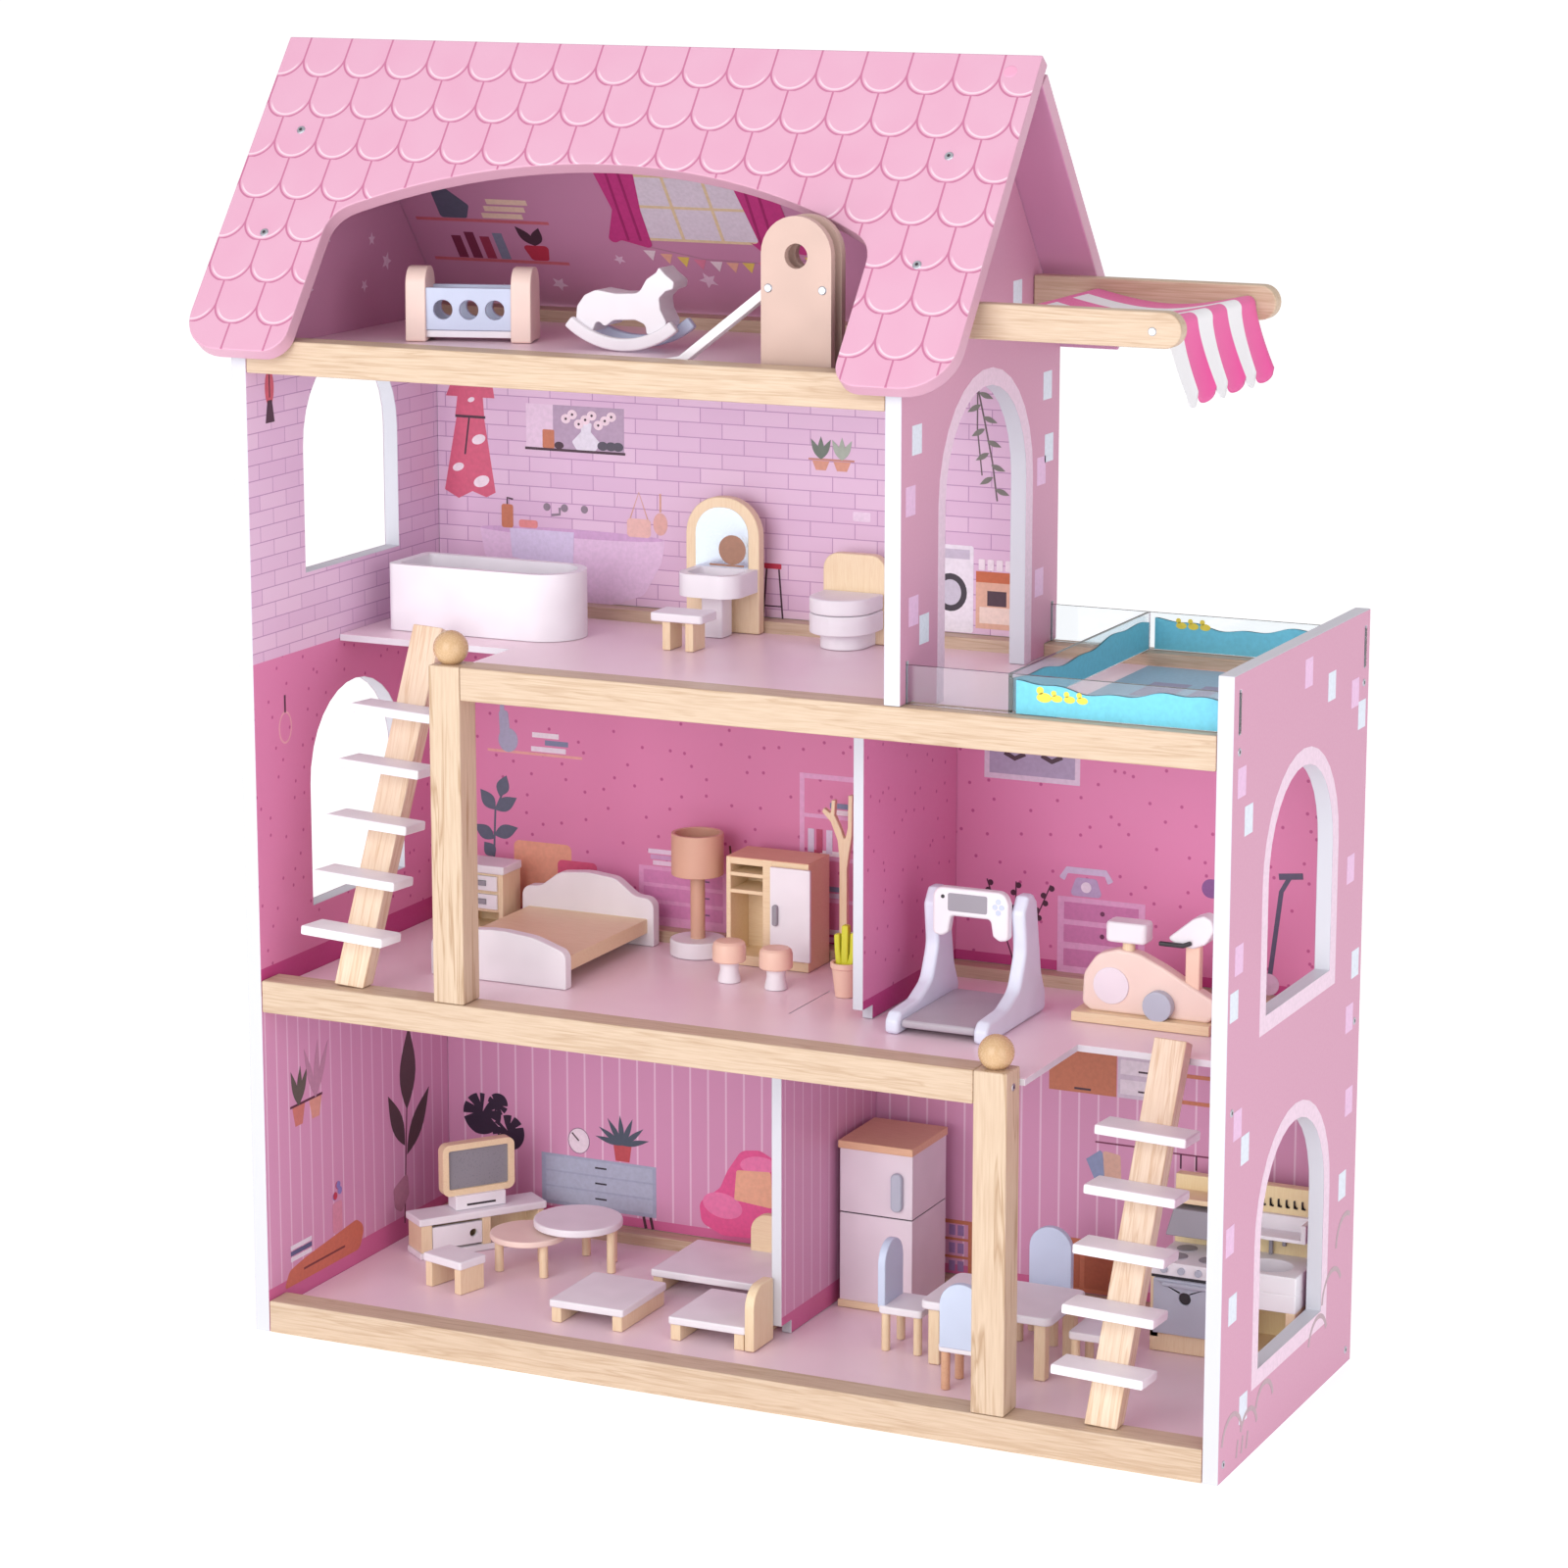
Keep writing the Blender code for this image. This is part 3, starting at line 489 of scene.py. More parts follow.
@dataclass(frozen=True)
class Timber(Finish):
    """Planed softwood or beech under clear satin lacquer: long grain lines, with darker late wood."""

    pale: str = "#CDB59D"
    dark: str = "#A88666"
    grain: str = "X"
    line_mm: float = 5.0
    contrast: float = 0.55
    tilt: float = 0.0

    def build(self) -> Material:
        """Builds long wavy grain, fine pores and a faint change of tone along the board."""
        shader = Shader(self.name)
        stretch = Vector((1 / self.line_mm,) * 3)
        stretch["XYZ".index(self.grain)] /= 22
        turned = shader.add("VectorRotate", shader.place, Angle=math.radians(self.tilt), rotation_type="X_AXIS")
        placed = shader.add("VectorMath", turned, tuple(stretch), operation="MULTIPLY")
        rings = shader.add("TexNoise", Vector=placed, Scale=1.0, Detail=3.0, Distortion=0.6)
        lines = shader.add("Math", shader.add("Math", rings, 7.0, operation="MULTIPLY"), 1.0,
            operation="PINGPONG")
        late = shader.add("MapRange", lines, 0.62, 1.0, 0.0, self.contrast)
        fine = shader.add("VectorMath", placed, (6.0, 6.0, 6.0), operation="MULTIPLY")
        pores = shader.add("TexNoise", Vector=fine, Scale=1.0, Detail=2.0)
        tone = shader.add("Mix", shader.add("MapRange", pores, 0.35, 0.75, 0.0, 0.35), self.pale, self.dark,
            **BLEND)
        colour = shader.add("Mix", late, tone, self.dark, **BLEND)
        rough = shader.add("MapRange", pores, 0.3, 0.7, 0.42, 0.56)
        return shader.finish(colour, rough, pores, 0.06, Coat_Weight=0.15, Coat_Roughness=0.3)


@dataclass(frozen=True)
class SatinPaint(Finish):
    """Sprayed satin paint on sanded wood: even colour, a faint orange-peel and a slight drift in tone."""

    colour: str = "#F2EFF3"
    roughness: float = 0.42

    def build(self) -> Material:
        """Builds the paint with a 1.5 mm orange-peel bump."""
        shader = Shader(self.name)
        peel = shader.add("TexNoise", Vector=shader.place, Scale=1 / 1.5, Detail=2.0)
        drift = shader.add("TexNoise", Vector=shader.place, Scale=1 / 30, Detail=1.0)
        shade = shader.add("MapRange", drift, 0.3, 0.7, 0.96, 1.03)
        colour = shader.add("HueSaturation", Color=self.colour, Value=shade)
        rough = shader.add("MapRange", peel, 0.3, 0.7, self.roughness - 0.05, self.roughness + 0.08)
        return shader.finish(colour, rough, peel, 0.02)


@dataclass(frozen=True)
class Ink(Finish):
    """Printing ink under a satin film: one flat colour whose halftone gives a slight mottle."""

    colour: str = "#8A5A6A"

    def build(self) -> Material:
        """Builds the ink with a 3 mm mottle."""
        shader = Shader(self.name)
        mottle = shader.add("TexNoise", Vector=shader.place, Scale=1 / 3, Detail=3.0)
        shade = shader.add("MapRange", mottle, 0.3, 0.7, 0.94, 1.05)
        colour = shader.add("HueSaturation", Color=self.colour, Value=shade)
        return shader.finish(colour, 0.5)


@dataclass(frozen=True)
class Metal(Finish):
    """Zinc-plated steel screw heads: bright and lightly brushed."""

    colour: str = "#B9BCC4"
    roughness: float = 0.3
    metallic: float = 1.0

    def build(self) -> Material:
        """Builds the metal with fine scuffs."""
        shader = Shader(self.name)
        scuff = shader.add("TexNoise", Vector=shader.place, Scale=2.0, Detail=2.0)
        rough = shader.add("MapRange", scuff, 0.3, 0.7, self.roughness, self.roughness + 0.2)
        return shader.finish(self.colour, rough, Metallic=self.metallic)


@dataclass(frozen=True)
class Acrylic(Finish):
    """Polished clear acrylic sheet."""

    def build(self) -> Material:
        """Builds a clear sheet with faint wipe marks in its gloss."""
        shader = Shader(self.name)
        wipe = shader.add("TexNoise", Vector=shader.place, Scale=1 / 12, Detail=2.0)
        rough = shader.add("MapRange", wipe, 0.3, 0.7, 0.02, 0.07)
        return shader.finish("#F3F8FA", rough, Transmission_Weight=1.0, IOR=1.49)


@dataclass(frozen=True)
class StripedCotton(Finish):
    """Plain-weave cotton with dyed stripes across its width: 0.8 mm threads, drawn coarse enough to show."""

    stripes: int = 6
    pink: str = "#E8559F"
    white: str = "#F1EFF3"
    thread_mm: float = 0.8

    def build(self) -> Material:
        """Builds the stripes and weave from the cloth's own UV map, which is in millimetres."""
        shader = Shader(self.name)
        cloth = shader.add("UVMap", uv_map="cloth")
        across = shader.add("SeparateXYZ", cloth, out="X")
        along = shader.add("SeparateXYZ", cloth, out="Y")
        width = Awning.CLOTH_WIDTH / self.stripes
        strip = shader.add("Math", shader.add("Math", across, width, operation="DIVIDE"), operation="FLOOR")
        odd = shader.add("Math", strip, 2.0, operation="MODULO")
        band = shader.add("Math", along, Awning.HEM, operation="LESS_THAN")
        pink = shader.add("Math", odd, band, operation="MAXIMUM")
        waves = [shader.add("Math", shader.add("Math", c, math.tau / self.thread_mm, operation="MULTIPLY"),
            operation="SINE") for c in (across, along)]
        weave = shader.add("Math", *waves, operation="MULTIPLY")
        shade = shader.add("MapRange", weave, -1.0, 1.0, 0.93, 1.03)
        colour = shader.add("HueSaturation", Color=shader.add("Mix", pink, self.white, self.pink, **BLEND),
            Value=shade)
        return shader.finish(colour, 0.85, weave, 0.1, Sheen_Weight=0.25, Sheen_Roughness=0.5)


class RoomPaper(Enum):
    """The printed papers of the rooms."""

    STARS = "attic"
    BRICKS = "bathroom"
    SPOTS = "bedroom"
    LINES = "living room"
    OUTSIDE = "outside"


PAPERS = {RoomPaper.STARS: "#CE93B6", RoomPaper.BRICKS: "#E6C6DF", RoomPaper.SPOTS: "#DC84B0",
    RoomPaper.LINES: "#D99ABF", RoomPaper.OUTSIDE: "#CD92AE"}
SKIRTING = {RoomPaper.SPOTS: "#BE3F83", RoomPaper.LINES: "#D2699C"}
BOARD_EDGE = "#CFD0D9"
SKIRTING_TOP = 8.0


@dataclass(frozen=True)
class PrintedBoard(Finish):
    """Fibreboard with a printed paper on each face under satin film, and a white painted edge."""

    normal: str = "X"
    across: str = "Y"
    outer_sign: int = 0
    level: str = ""

    def paper(self, shader: Shader, kind: RoomPaper, level: float) -> Socket:
        """Builds one room's paper.

        Args:
            shader: the material under construction.
            kind: the paper.
            level: the height of the room's floor beams, in millimetres.

        Returns:
            Its colour.
        """
        h, v = (shader.add("SeparateXYZ", shader.place, out=a) for a in (self.across, "Z"))
        base = PAPERS[kind]
        if kind is RoomPaper.BRICKS:
            flat = shader.add("CombineXYZ", h, v)
            return shader.add("TexBrick", flat, base, "#DEBAD8", "#BB8FB9", Scale=1.0, Mortar_Size=0.4,
                Brick_Width=36.0, Row_Height=11.3, Mortar_Smooth=0.1)
        colour = shader.add("Mix", 0.0, base, base, **BLEND)
        if kind is RoomPaper.LINES:
            near = shader.add("Math", h, 7.6, operation="PINGPONG")
            mask = shader.add("Math", near, 0.75, operation="LESS_THAN")
            colour = shader.add("Mix", mask, base, "#EBC4DC", **BLEND)
        if kind is RoomPaper.SPOTS:
            flat = shader.add("CombineXYZ", h, v)
            spots = shader.add("TexVoronoi", Vector=flat, Scale=1 / 21, Randomness=0.95,
                voronoi_dimensions="2D")
            mask = shader.add("MapRange", spots, 0.075, 0.045, 0.0, 0.8)
            colour = shader.add("Mix", mask, base, "#B03C7C", **BLEND)
        if kind in SKIRTING:
            low = shader.add("Math", v, level + SKIRTING_TOP, operation="LESS_THAN")
            colour = shader.add("Mix", low, colour, SKIRTING[kind], **BLEND)
        return colour

    def build(self) -> Material:
        """Builds the rooms' papers by height, the outside paper and the white edge."""
        shader = Shader(self.name)
        rooms = {"ground": RoomPaper.LINES, "first": RoomPaper.SPOTS, "second": RoomPaper.BRICKS,
            "attic": RoomPaper.STARS}
        colour = None
        height = shader.add("SeparateXYZ", shader.place, out="Z")
        for name, kind in rooms.items():
            if self.level and name != self.level:
                continue
            paper = self.paper(shader, kind, LEVELS[name])
            above = shader.add("Math", height, LEVELS[name] - RAIL / 2, operation="GREATER_THAN")
            colour = paper if colour is None else shader.add("Mix", above, colour, paper, **BLEND)
        facing = shader.add("SeparateXYZ", shader.add("TexCoord", out="Normal"), out=self.normal)
        if self.outer_sign:
            signed = shader.add("Math", facing, float(self.outer_sign), operation="MULTIPLY")
            outside = shader.add("Math", signed, 0.5, operation="GREATER_THAN")
            colour = shader.add("Mix", outside, colour, PAPERS[RoomPaper.OUTSIDE], **BLEND)
        flat = shader.add("Math", shader.add("Math", facing, operation="ABSOLUTE"), 0.9,
            operation="GREATER_THAN")
        colour = shader.add("Mix", flat, BOARD_EDGE, colour, **BLEND)
        film = shader.add("TexNoise", Vector=shader.place, Scale=1 / 2, Detail=2.0)
        rough = shader.add("MapRange", film, 0.3, 0.7, 0.42, 0.52)
        return shader.finish(colour, rough, film, 0.01)


@dataclass(frozen=True)
class ShinglePrint(Finish):
    """Board printed with rows of round-ended shingles, each with a dark outline and a pale glint inside it."""

    wide_mm: float = 34.0
    row_mm: float = 34.7
    base: str = "#D8A8BF"
    line: str = "#BC6F92"
    glint: str = "#EBD3DE"
    edge: str = "#CB9BB0"
    inside: RoomPaper | None = None
    outward_y: int = -1

    def build(self) -> Material:
        """Builds the shingles from the place across the roof and the distance down its slope."""
        shader = Shader(self.name)
        ridge = node_box("roof_front")[1].z
        down = shader.add("MapRange", shader.add("SeparateXYZ", shader.place, out="Z"), ridge,
            ridge - 1000 * math.sin(PITCH), 0.0, 1000.0)
        row = shader.add("Math", shader.add("Math", down, self.row_mm, operation="DIVIDE"), operation="FLOOR")
        shift = shader.add("Math", row, self.wide_mm / 2, operation="MULTIPLY")
        x = shader.add("Math", shader.add("SeparateXYZ", shader.place, out="X"), shift, operation="ADD")
        side = shader.add("Math", x, self.wide_mm / 2, operation="PINGPONG")
        side = shader.add("Math", self.wide_mm / 2, side, operation="SUBTRACT")
        v = shader.add("Math", down, self.row_mm, operation="MODULO")
        radius = self.wide_mm / 2
        below = shader.add("Math", shader.add("Math", v, self.row_mm - radius, operation="SUBTRACT"), 0.0,
            operation="MAXIMUM")
        squares = [shader.add("Math", s, 2.0, operation="POWER") for s in (side, below)]
        reach = shader.add("Math", shader.add("Math", *squares, operation="ADD"), 0.5, operation="POWER")
        inset = shader.add("Math", radius, reach, operation="SUBTRACT")
        fade = shader.add("TexNoise", Vector=shader.place, Scale=1 / 40, Detail=1.0)
        colour = shader.add("Mix", fade, self.base, "#D59BB6", **BLEND)
        lower = shader.add("MapRange", below, 4.0, 9.0, 0.0, 0.75)
        ring = shader.add("Math", shader.add("Math", inset, 2.4, operation="SUBTRACT"), operation="ABSOLUTE")
        glint = shader.add("Math", shader.add("Math", ring, 0.65, operation="LESS_THAN"), lower,
            operation="MULTIPLY")
        colour = shader.add("Mix", glint, colour, self.glint, **BLEND)
        edge = shader.add("Math", shader.add("Math", inset, operation="ABSOLUTE"), 0.75, operation="LESS_THAN")
        colour = shader.add("Mix", edge, colour, self.line, **BLEND)
        facing = shader.add("TexCoord", out="Normal")
        outward = (0.0, self.outward_y * math.sin(PITCH), math.cos(PITCH))
        out = shader.add("VectorMath", facing, outward, operation="DOT_PRODUCT", out="Value")
        top = shader.add("Math", out, 0.7, operation="GREATER_THAN")
        colour = shader.add("Mix", top, self.edge, colour, **BLEND)
        if self.inside:
            under = shader.add("Math", out, -0.7, operation="LESS_THAN")
            colour = shader.add("Mix", under, colour, PAPERS[self.inside], **BLEND)
        rough = shader.add("MapRange", fade, 0.3, 0.7, 0.4, 0.5)
        return shader.finish(colour, rough, fade, 0.02)


@dataclass(frozen=True)
class FloorPrint(Finish):
    """Thin board with pale pink film on top and a bare white edge."""

    colour: str = "#F9E0EA"

    def build(self) -> Material:
        """Builds the film with soft clouding and a white edge."""
        shader = Shader(self.name)
        cloud = shader.add("TexNoise", Vector=shader.place, Scale=1 / 60, Detail=2.0)
        tone = shader.add("Mix", shader.add("MapRange", cloud, 0.3, 0.7, 0.0, 0.5), self.colour, "#F5D6E4",
            **BLEND)
        up = shader.add("Math", shader.add("SeparateXYZ", shader.add("TexCoord", out="Normal"), out="Z"), 0.5,
            operation="GREATER_THAN")
        film = shader.add("TexNoise", Vector=shader.place, Scale=1 / 2, Detail=2.0)
        rough = shader.add("MapRange", film, 0.3, 0.7, 0.3, 0.36)
        return shader.finish(shader.add("Mix", up, "#D9D3DC", tone, **BLEND), rough)


PINE_X = Timber("lacquered_pine_along", "pine", grain="X", contrast=0.45, line_mm=6.0)
PINE_Y = Timber("lacquered_pine_deep", "pine", grain="Y", contrast=0.35, line_mm=6.0)
PINE_Z = Timber("lacquered_pine_upright", "pine", grain="Z", contrast=0.8, line_mm=8.0, pale="#D0B89F")
PINE_LADDER = Timber("lacquered_pine_ladder", "beech", grain="Z", pale="#EAD4BC", dark="#C9A076", line_mm=6.0,
    tilt=22.0)
BEECH_Z = Timber("lacquered_beech", "beech", grain="Z", pale="#F2DCBA", dark="#E0BE92", line_mm=2.5,
    contrast=0.3)
BEECH_X = Timber("lacquered_beech_flat", "beech", grain="X", pale="#F0D8B4", dark="#DDBA8E", line_mm=2.5,
    contrast=0.3)
BEECH_TAN = Timber("stained_beech", "peach_paint", grain="X", pale="#E4B593", dark="#CF9B78", line_mm=2.5,
    contrast=0.3)
WHITE = SatinPaint("white_satin_paint", "white_paint", "#F0ECF2")
SKY = SatinPaint("sky_satin_paint", "sky_paint", "#CBD6EE")
PEACH = SatinPaint("peach_satin_paint", "peach_paint", "#F3CDB9")
BLUSH = SatinPaint("blush_satin_paint", "peach_paint", "#F3D9CE")
TAN = SatinPaint("tan_satin_paint", "tan_paint", "#C4A79C")
CLAY = SatinPaint("clay_satin_paint", "peach_paint", "#DDAE96")
GREY = SatinPaint("grey_satin_paint", "slate_paint", "#9D99A3")
STEEL_GREY = SatinPaint("blue_grey_satin_paint", "slate_paint", "#B7BBCB")
# Black satin paint for the truly black parts; the same black also paints shade in screw sockets, the fridge's
# carved line, the gap under the hob, the oven's window and the slot of the TV's base.
BLACK_PAINT_AND_SHADE = SatinPaint("black_paint_and_painted_shade", "slate_paint", "#2D2930", 0.35)
LIME = SatinPaint("lime_satin_paint", "peach_paint", "#D9DC3A")
MIRROR = Metal("mirror_foil", "sky_paint", "#D5DEEC", 0.08)
SCREW = Metal("zinc_plated_steel", "slate_paint")
BALL = SatinPaint("varnished_wood_ball", "pine", "#C9A67E", 0.25)


# ---------------------------------------------------------------- pieces


def piece(name: str, mesh: BMesh, finish: Finish, body: str = "house", edge: float = 0.8,
          stands_for: Sequence[str] = (), place: Matrix | None = None) -> Object:
    """Makes one named piece from a mesh in millimetres, with rounded edges, and puts it on its body.

    Args:
        name: the piece's name.
        mesh: its shape, which is used up.
        finish: its finish.
        body: the frame body that it moves with.
        edge: the radius of its rounded edges in millimetres, or 0.
        stands_for: frame nodes that it replaces.
        place: where it goes in the house, in millimetres, or None where it is already there.

    Returns:
        The new object.
    """
    bmesh.ops.recalc_face_normals(mesh, faces=mesh.faces)
    mesh.transform(Matrix.Scale(MM, 4) @ (place or Matrix.Identity(4)))
    data = bpy.data.meshes.new(name)
    mesh.to_mesh(data)
    mesh.free()
    data.materials.append(finish.material())
    obj = bpy.data.objects.new(name, data)
    bpy.context.scene.collection.objects.link(obj)
    data.shade_smooth()
    data.set_sharp_from_angle(angle=SHARP)
    if edge:
        bevel = obj.modifiers.new("rounded edges", "BEVEL")
        bevel.width = edge * MM
        bevel.segments = 2
        bevel.limit_method = "ANGLE"
        bevel.angle_limit = SHARP
        bevel.harden_normals = True
    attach(obj, body)
    if stands_for:
        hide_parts(*stands_for)
    LOG.info("%s on %s: %s", name, body, finish.name)
    return obj


def cut(name: str, finish: Finish, plane: str, outline: Points, start: float, end: float,
        holes: Iterable[Points] = (), **how: object) -> Object:
    """Makes a piece of one board.

    Args:
        name, finish: as for piece.
        plane, outline, start, end, holes: as for add_plate.
        how: the rest of what piece takes.

    Returns:
        The new object.
    """
    mesh = bmesh.new()
    add_plate(mesh, plane, outline, start, end, holes)
    return piece(name, mesh, finish, **how)


@dataclass
class Workbench:
    """Builds one sub-assembly in its own coordinates, in millimetres, and places its pieces in the house."""

    node: str
    turn: float = 0.0
    centre: tuple[float, float, float] = (0.0, 0.0, 0.0)
    body: str = ""
    replaced: bool = False

    def place(self) -> Matrix:
        """Finds where the sub-assembly stands from its frame node's box."""
        low, high = node_box(self.node)
        foot = Vector(((low.x + high.x) / 2, (low.y + high.y) / 2, low.z))
        turned = Matrix.Rotation(math.radians(self.turn), 4, "Z")
        return Matrix.Translation(foot) @ turned @ Matrix.Translation(-Vector(self.centre))

    def make(self, name: str, mesh: BMesh, finish: Finish, edge: float = 0.8) -> Object:
        """Makes one piece; the first one stands for the frame node.

        Args:
            name: what the piece is, after the node's name.
            mesh: its shape.
            finish: its finish.
            edge: the radius of its edges.

        Returns:
            The piece.
        """
        stands_for = () if self.replaced else (self.node,)
        self.replaced = True
        body = self.body or (self.node if self.node in frame["bodies"] else "house")
        return piece(f"{self.node}_{name}", mesh, finish, body, edge, stands_for, self.place())

    def boards(self, name: str, finish: Finish, plates: Sequence[tuple], edge: float = 0.8) -> Object:
        """Makes a piece from one or more boards.

        Args:
            name: what the piece is.
            finish: its finish.
            plates: (plane, outline, start, end) or (plane, outline, start, end, holes) for each board.
            edge: the radius of its edges.

        Returns:
            The piece.
        """
        mesh = bmesh.new()
        for plate in plates:
            add_plate(mesh, *plate)
        return self.make(name, mesh, finish, edge)

    def blocks(self, name: str, finish: Finish, boxes: Path, edge: float = 0.8, corner: float = 0.0) -> Object:
        """Makes a piece from boxes, each (x0, x1, y0, y1, z0, z1), with round upright corners."""
        plates = [("xy", rect(*box[:4], corner), *box[4:]) for box in boxes]
        return self.boards(name, finish, plates, edge)

    def turned(self, name: str, finish: Finish, profile: Sequence[Point], places: Sequence[Point] = ((0, 0),),
               edge: float = 0.8) -> Object:
        """Makes a turned piece, or several alike.

        Args:
            name: what the piece is.
            finish: its finish.
            profile: (radius, height) points from axis to axis.
            places: the axes.
            edge: the radius of its edges.

        Returns:
            The piece.
        """
        mesh = bmesh.new()
        for x, y in places:
            add_turned(mesh, profile, x, y)
        return self.make(name, mesh, finish, edge)

    def rods(self, name: str, finish: Finish, ends: Sequence[tuple], radius: float,
             edge: float = 0.5) -> Object:
        """Makes round rods between pairs of points.

        Args:
            name: what the piece is.
            finish: its finish.
            ends: (start, end) points of each rod.
            radius: the rods' radius.
            edge: the radius of their rims.

        Returns:
            The piece.
        """
        mesh = bmesh.new()
        for start, end in ends:
            along = Vector(end) - Vector(start)
            made = add_turned(mesh, [(0, 0), (radius, 0), (radius, along.length), (0, along.length)], sides=24)
            turn = along.to_track_quat("Z", "Y").to_matrix().to_4x4()
            bmesh.ops.transform(mesh, matrix=Matrix.Translation(start) @ turn, verts=made)
        return self.make(name, mesh, finish, edge)


@dataclass
class PrintedWall:
    """A flat face that takes printed motifs, drawn in millimetres across and up it."""

    name: str
    origin: Vector
    right: Vector
    up: Vector
    motifs: dict[str, BMesh] = field(default_factory=dict)
    count: int = 0

    def stick(self, colour: str, outline: Points, layer: int = 0, holes: Iterable[Points] = ()) -> None:
        """Prints a flat shape.

        Args:
            colour: its hex colour.
            outline: its edge.
            layer: how many layers of ink lie under it.
            holes: outlines left unprinted.
        """
        mesh = self.motifs.setdefault(colour, bmesh.new())
        self.count += 1
        low = 0.02 + PRINT_THICK * layer + INK_STEP * self.count
        add_plate(mesh, "xy", outline, low, low + PRINT_THICK, holes)

    def box(self, colour: str, left: float, right: float, low: float, high: float, layer: int = 0,
            corner: float = 0) -> None:
        """Prints a rectangle, with round corners where they have a radius."""
        self.stick(colour, rect(left, right, low, high, corner), layer)

    def dot(self, colour: str, x: float, y: float, wide: float, high: float, layer: int = 0) -> None:
        """Prints an ellipse of this half width and half height."""
        self.stick(colour, oval(x, y, wide, high), layer)

    def line(self, colour: str, path: Path, wide: float, layer: int = 0) -> None:
        """Prints a line of even width."""
        self.stick(colour, ribbon(path, wide), layer)

    def finish(self) -> None:
        """Makes one piece of each colour of ink on this wall."""
        out = self.right.cross(self.up)
        axes = Matrix((self.right, self.up, out)).transposed().to_4x4()
        place = Matrix.Translation(self.origin) @ axes
        for colour, mesh in self.motifs.items():
            ink = Ink(f"ink_{colour[1:]}", "room_print", colour)
            piece(f"print_{self.name}_{colour[1:]}", mesh, ink, edge=0, place=place)


# ---------------------------------------------------------------- repeated trim


HEAD_TOP = 0.38  # radius of a head's flat top, as a part of its width
SCREW_WIDE = 6.5
# size of the black disc that paints the shade in a screw's socket
SOCKET_WIDE = 2.8
SCREW_SINK = 0.6
SOCKET_RISE = 0.9


def repeat_tree() -> bpy.types.NodeTree:
    """Builds the node tree that puts a round or square head on every point, facing as the point says.

    Returns:
        The tree, with inputs for round or square, width, height, thickness and material.
    """
    tree = bpy.data.node_groups.new("heads on points", "GeometryNodeTree")
    face = tree.interface
    face.new_socket("Geometry", in_out="INPUT", socket_type="NodeSocketGeometry")
    for name, kind in (("Round", "Bool"), ("Width", "Float"), ("Height", "Float"), ("Thickness", "Float"),
            ("Material", "Material")):
        face.new_socket(name, in_out="INPUT", socket_type="NodeSocket" + kind)
    face.new_socket("Geometry", in_out="OUTPUT", socket_type="NodeSocketGeometry")
    given = tree.nodes.new("NodeGroupInput").outputs
    rim, foot = (add_node(tree, "ShaderNodeMath", given["Width"], part, operation="MULTIPLY")
        for part in (HEAD_TOP, 0.5))
    cone = add_node(tree, "GeometryNodeMeshCone", Vertices=20, Radius_Top=rim, Radius_Bottom=foot,
        Depth=given["Thickness"])
    size = add_node(tree, "ShaderNodeCombineXYZ", given["Height"], given["Width"], given["Thickness"])
    square = add_node(tree, "GeometryNodeMeshCube", size)
    head = add_node(tree, "GeometryNodeSwitch", given["Round"], square, cone, input_type="GEOMETRY")
    facing = add_node(tree, "GeometryNodeInputNamedAttribute", "facing", data_type="FLOAT_VECTOR")
    turn = add_node(tree, "FunctionNodeAlignRotationToVector", Vector=facing, axis="Z")
    spread = add_node(tree, "GeometryNodeInstanceOnPoints", given["Geometry"], Instance=head, Rotation=turn)
    real = add_node(tree, "GeometryNodeRealizeInstances", spread)
    dress = add_node(tree, "GeometryNodeSetMaterial", real, Material=given["Material"])
    tree.links.new(dress, tree.nodes.new("NodeGroupOutput").inputs["Geometry"])
    return tree


@dataclass
class RepeatedTrim:
    """Screw heads or printed squares, set out by one node tree."""

    tree: bpy.types.NodeTree

    def screws(self, name: str, heads: Heads, width: float = SCREW_WIDE, body: str = "house",
               sockets: bool = False) -> None:
        """Makes screw heads, with black discs that paint the shade in their sockets where these show.

        Args:
            name: the piece's name, in the plural.
            heads: the place in millimetres and the facing direction of each head.
            width: a head's width.
            body: the body that they ride on.
            sockets: whether the painted shade of the sockets shows.
        """
        self.spread(name, SCREW, heads, width, width, 1.0, True, body)
        if sockets:
            # flat black discs on the heads paint the shade inside the sockets
            marks = [(Vector(place) + Vector(way) * SOCKET_RISE, way) for place, way in heads]
            self.spread(f"{name[:-1]}_sockets", BLACK_PAINT_AND_SHADE, marks, SOCKET_WIDE, SOCKET_WIDE, 0.24, True, body)

    def spread(self, name: str, finish: Finish, heads: Heads, width: float, height: float, thick: float,
               is_round: bool, body: str = "house") -> None:
        """Makes one piece with a head on each point.

        Args:
            name: the piece's name.
            finish: its finish.
            heads: the place in millimetres and the facing direction of each head.
            width, height, thick: a head's size in millimetres.
            is_round: a screw head rather than a square.
            body: the body that it rides on.
        """
        data = bpy.data.meshes.new(name)
        data.from_pydata([Vector(place) * MM for place, _ in heads], [], [])
        facing = data.attributes.new("facing", "FLOAT_VECTOR", "POINT")
        for i, (_, direction) in enumerate(heads):
            facing.data[i].vector = direction
        source = bpy.data.objects.new(name + "_points", data)
        bpy.context.scene.collection.objects.link(source)
        nodes = source.modifiers.new("heads", "NODES")
        nodes.node_group = self.tree
        given = {"Round": is_round, "Width": width * MM, "Height": height * MM, "Thickness": thick * MM,
            "Material": finish.material()}
        for item in self.tree.interface.items_tree:
            if item.name in given:
                nodes[item.identifier] = given[item.name]
        bpy.context.view_layer.update()
        graph = bpy.context.evaluated_depsgraph_get()
        plain = bpy.data.meshes.new_from_object(source.evaluated_get(graph))
        plain.name = name
        bpy.data.objects.remove(source)
        obj = bpy.data.objects.new(name, plain)
        bpy.context.scene.collection.objects.link(obj)
        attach(obj, body)
        LOG.info("%s: %d heads", name, len(heads))


# ---------------------------------------------------------------- carcass


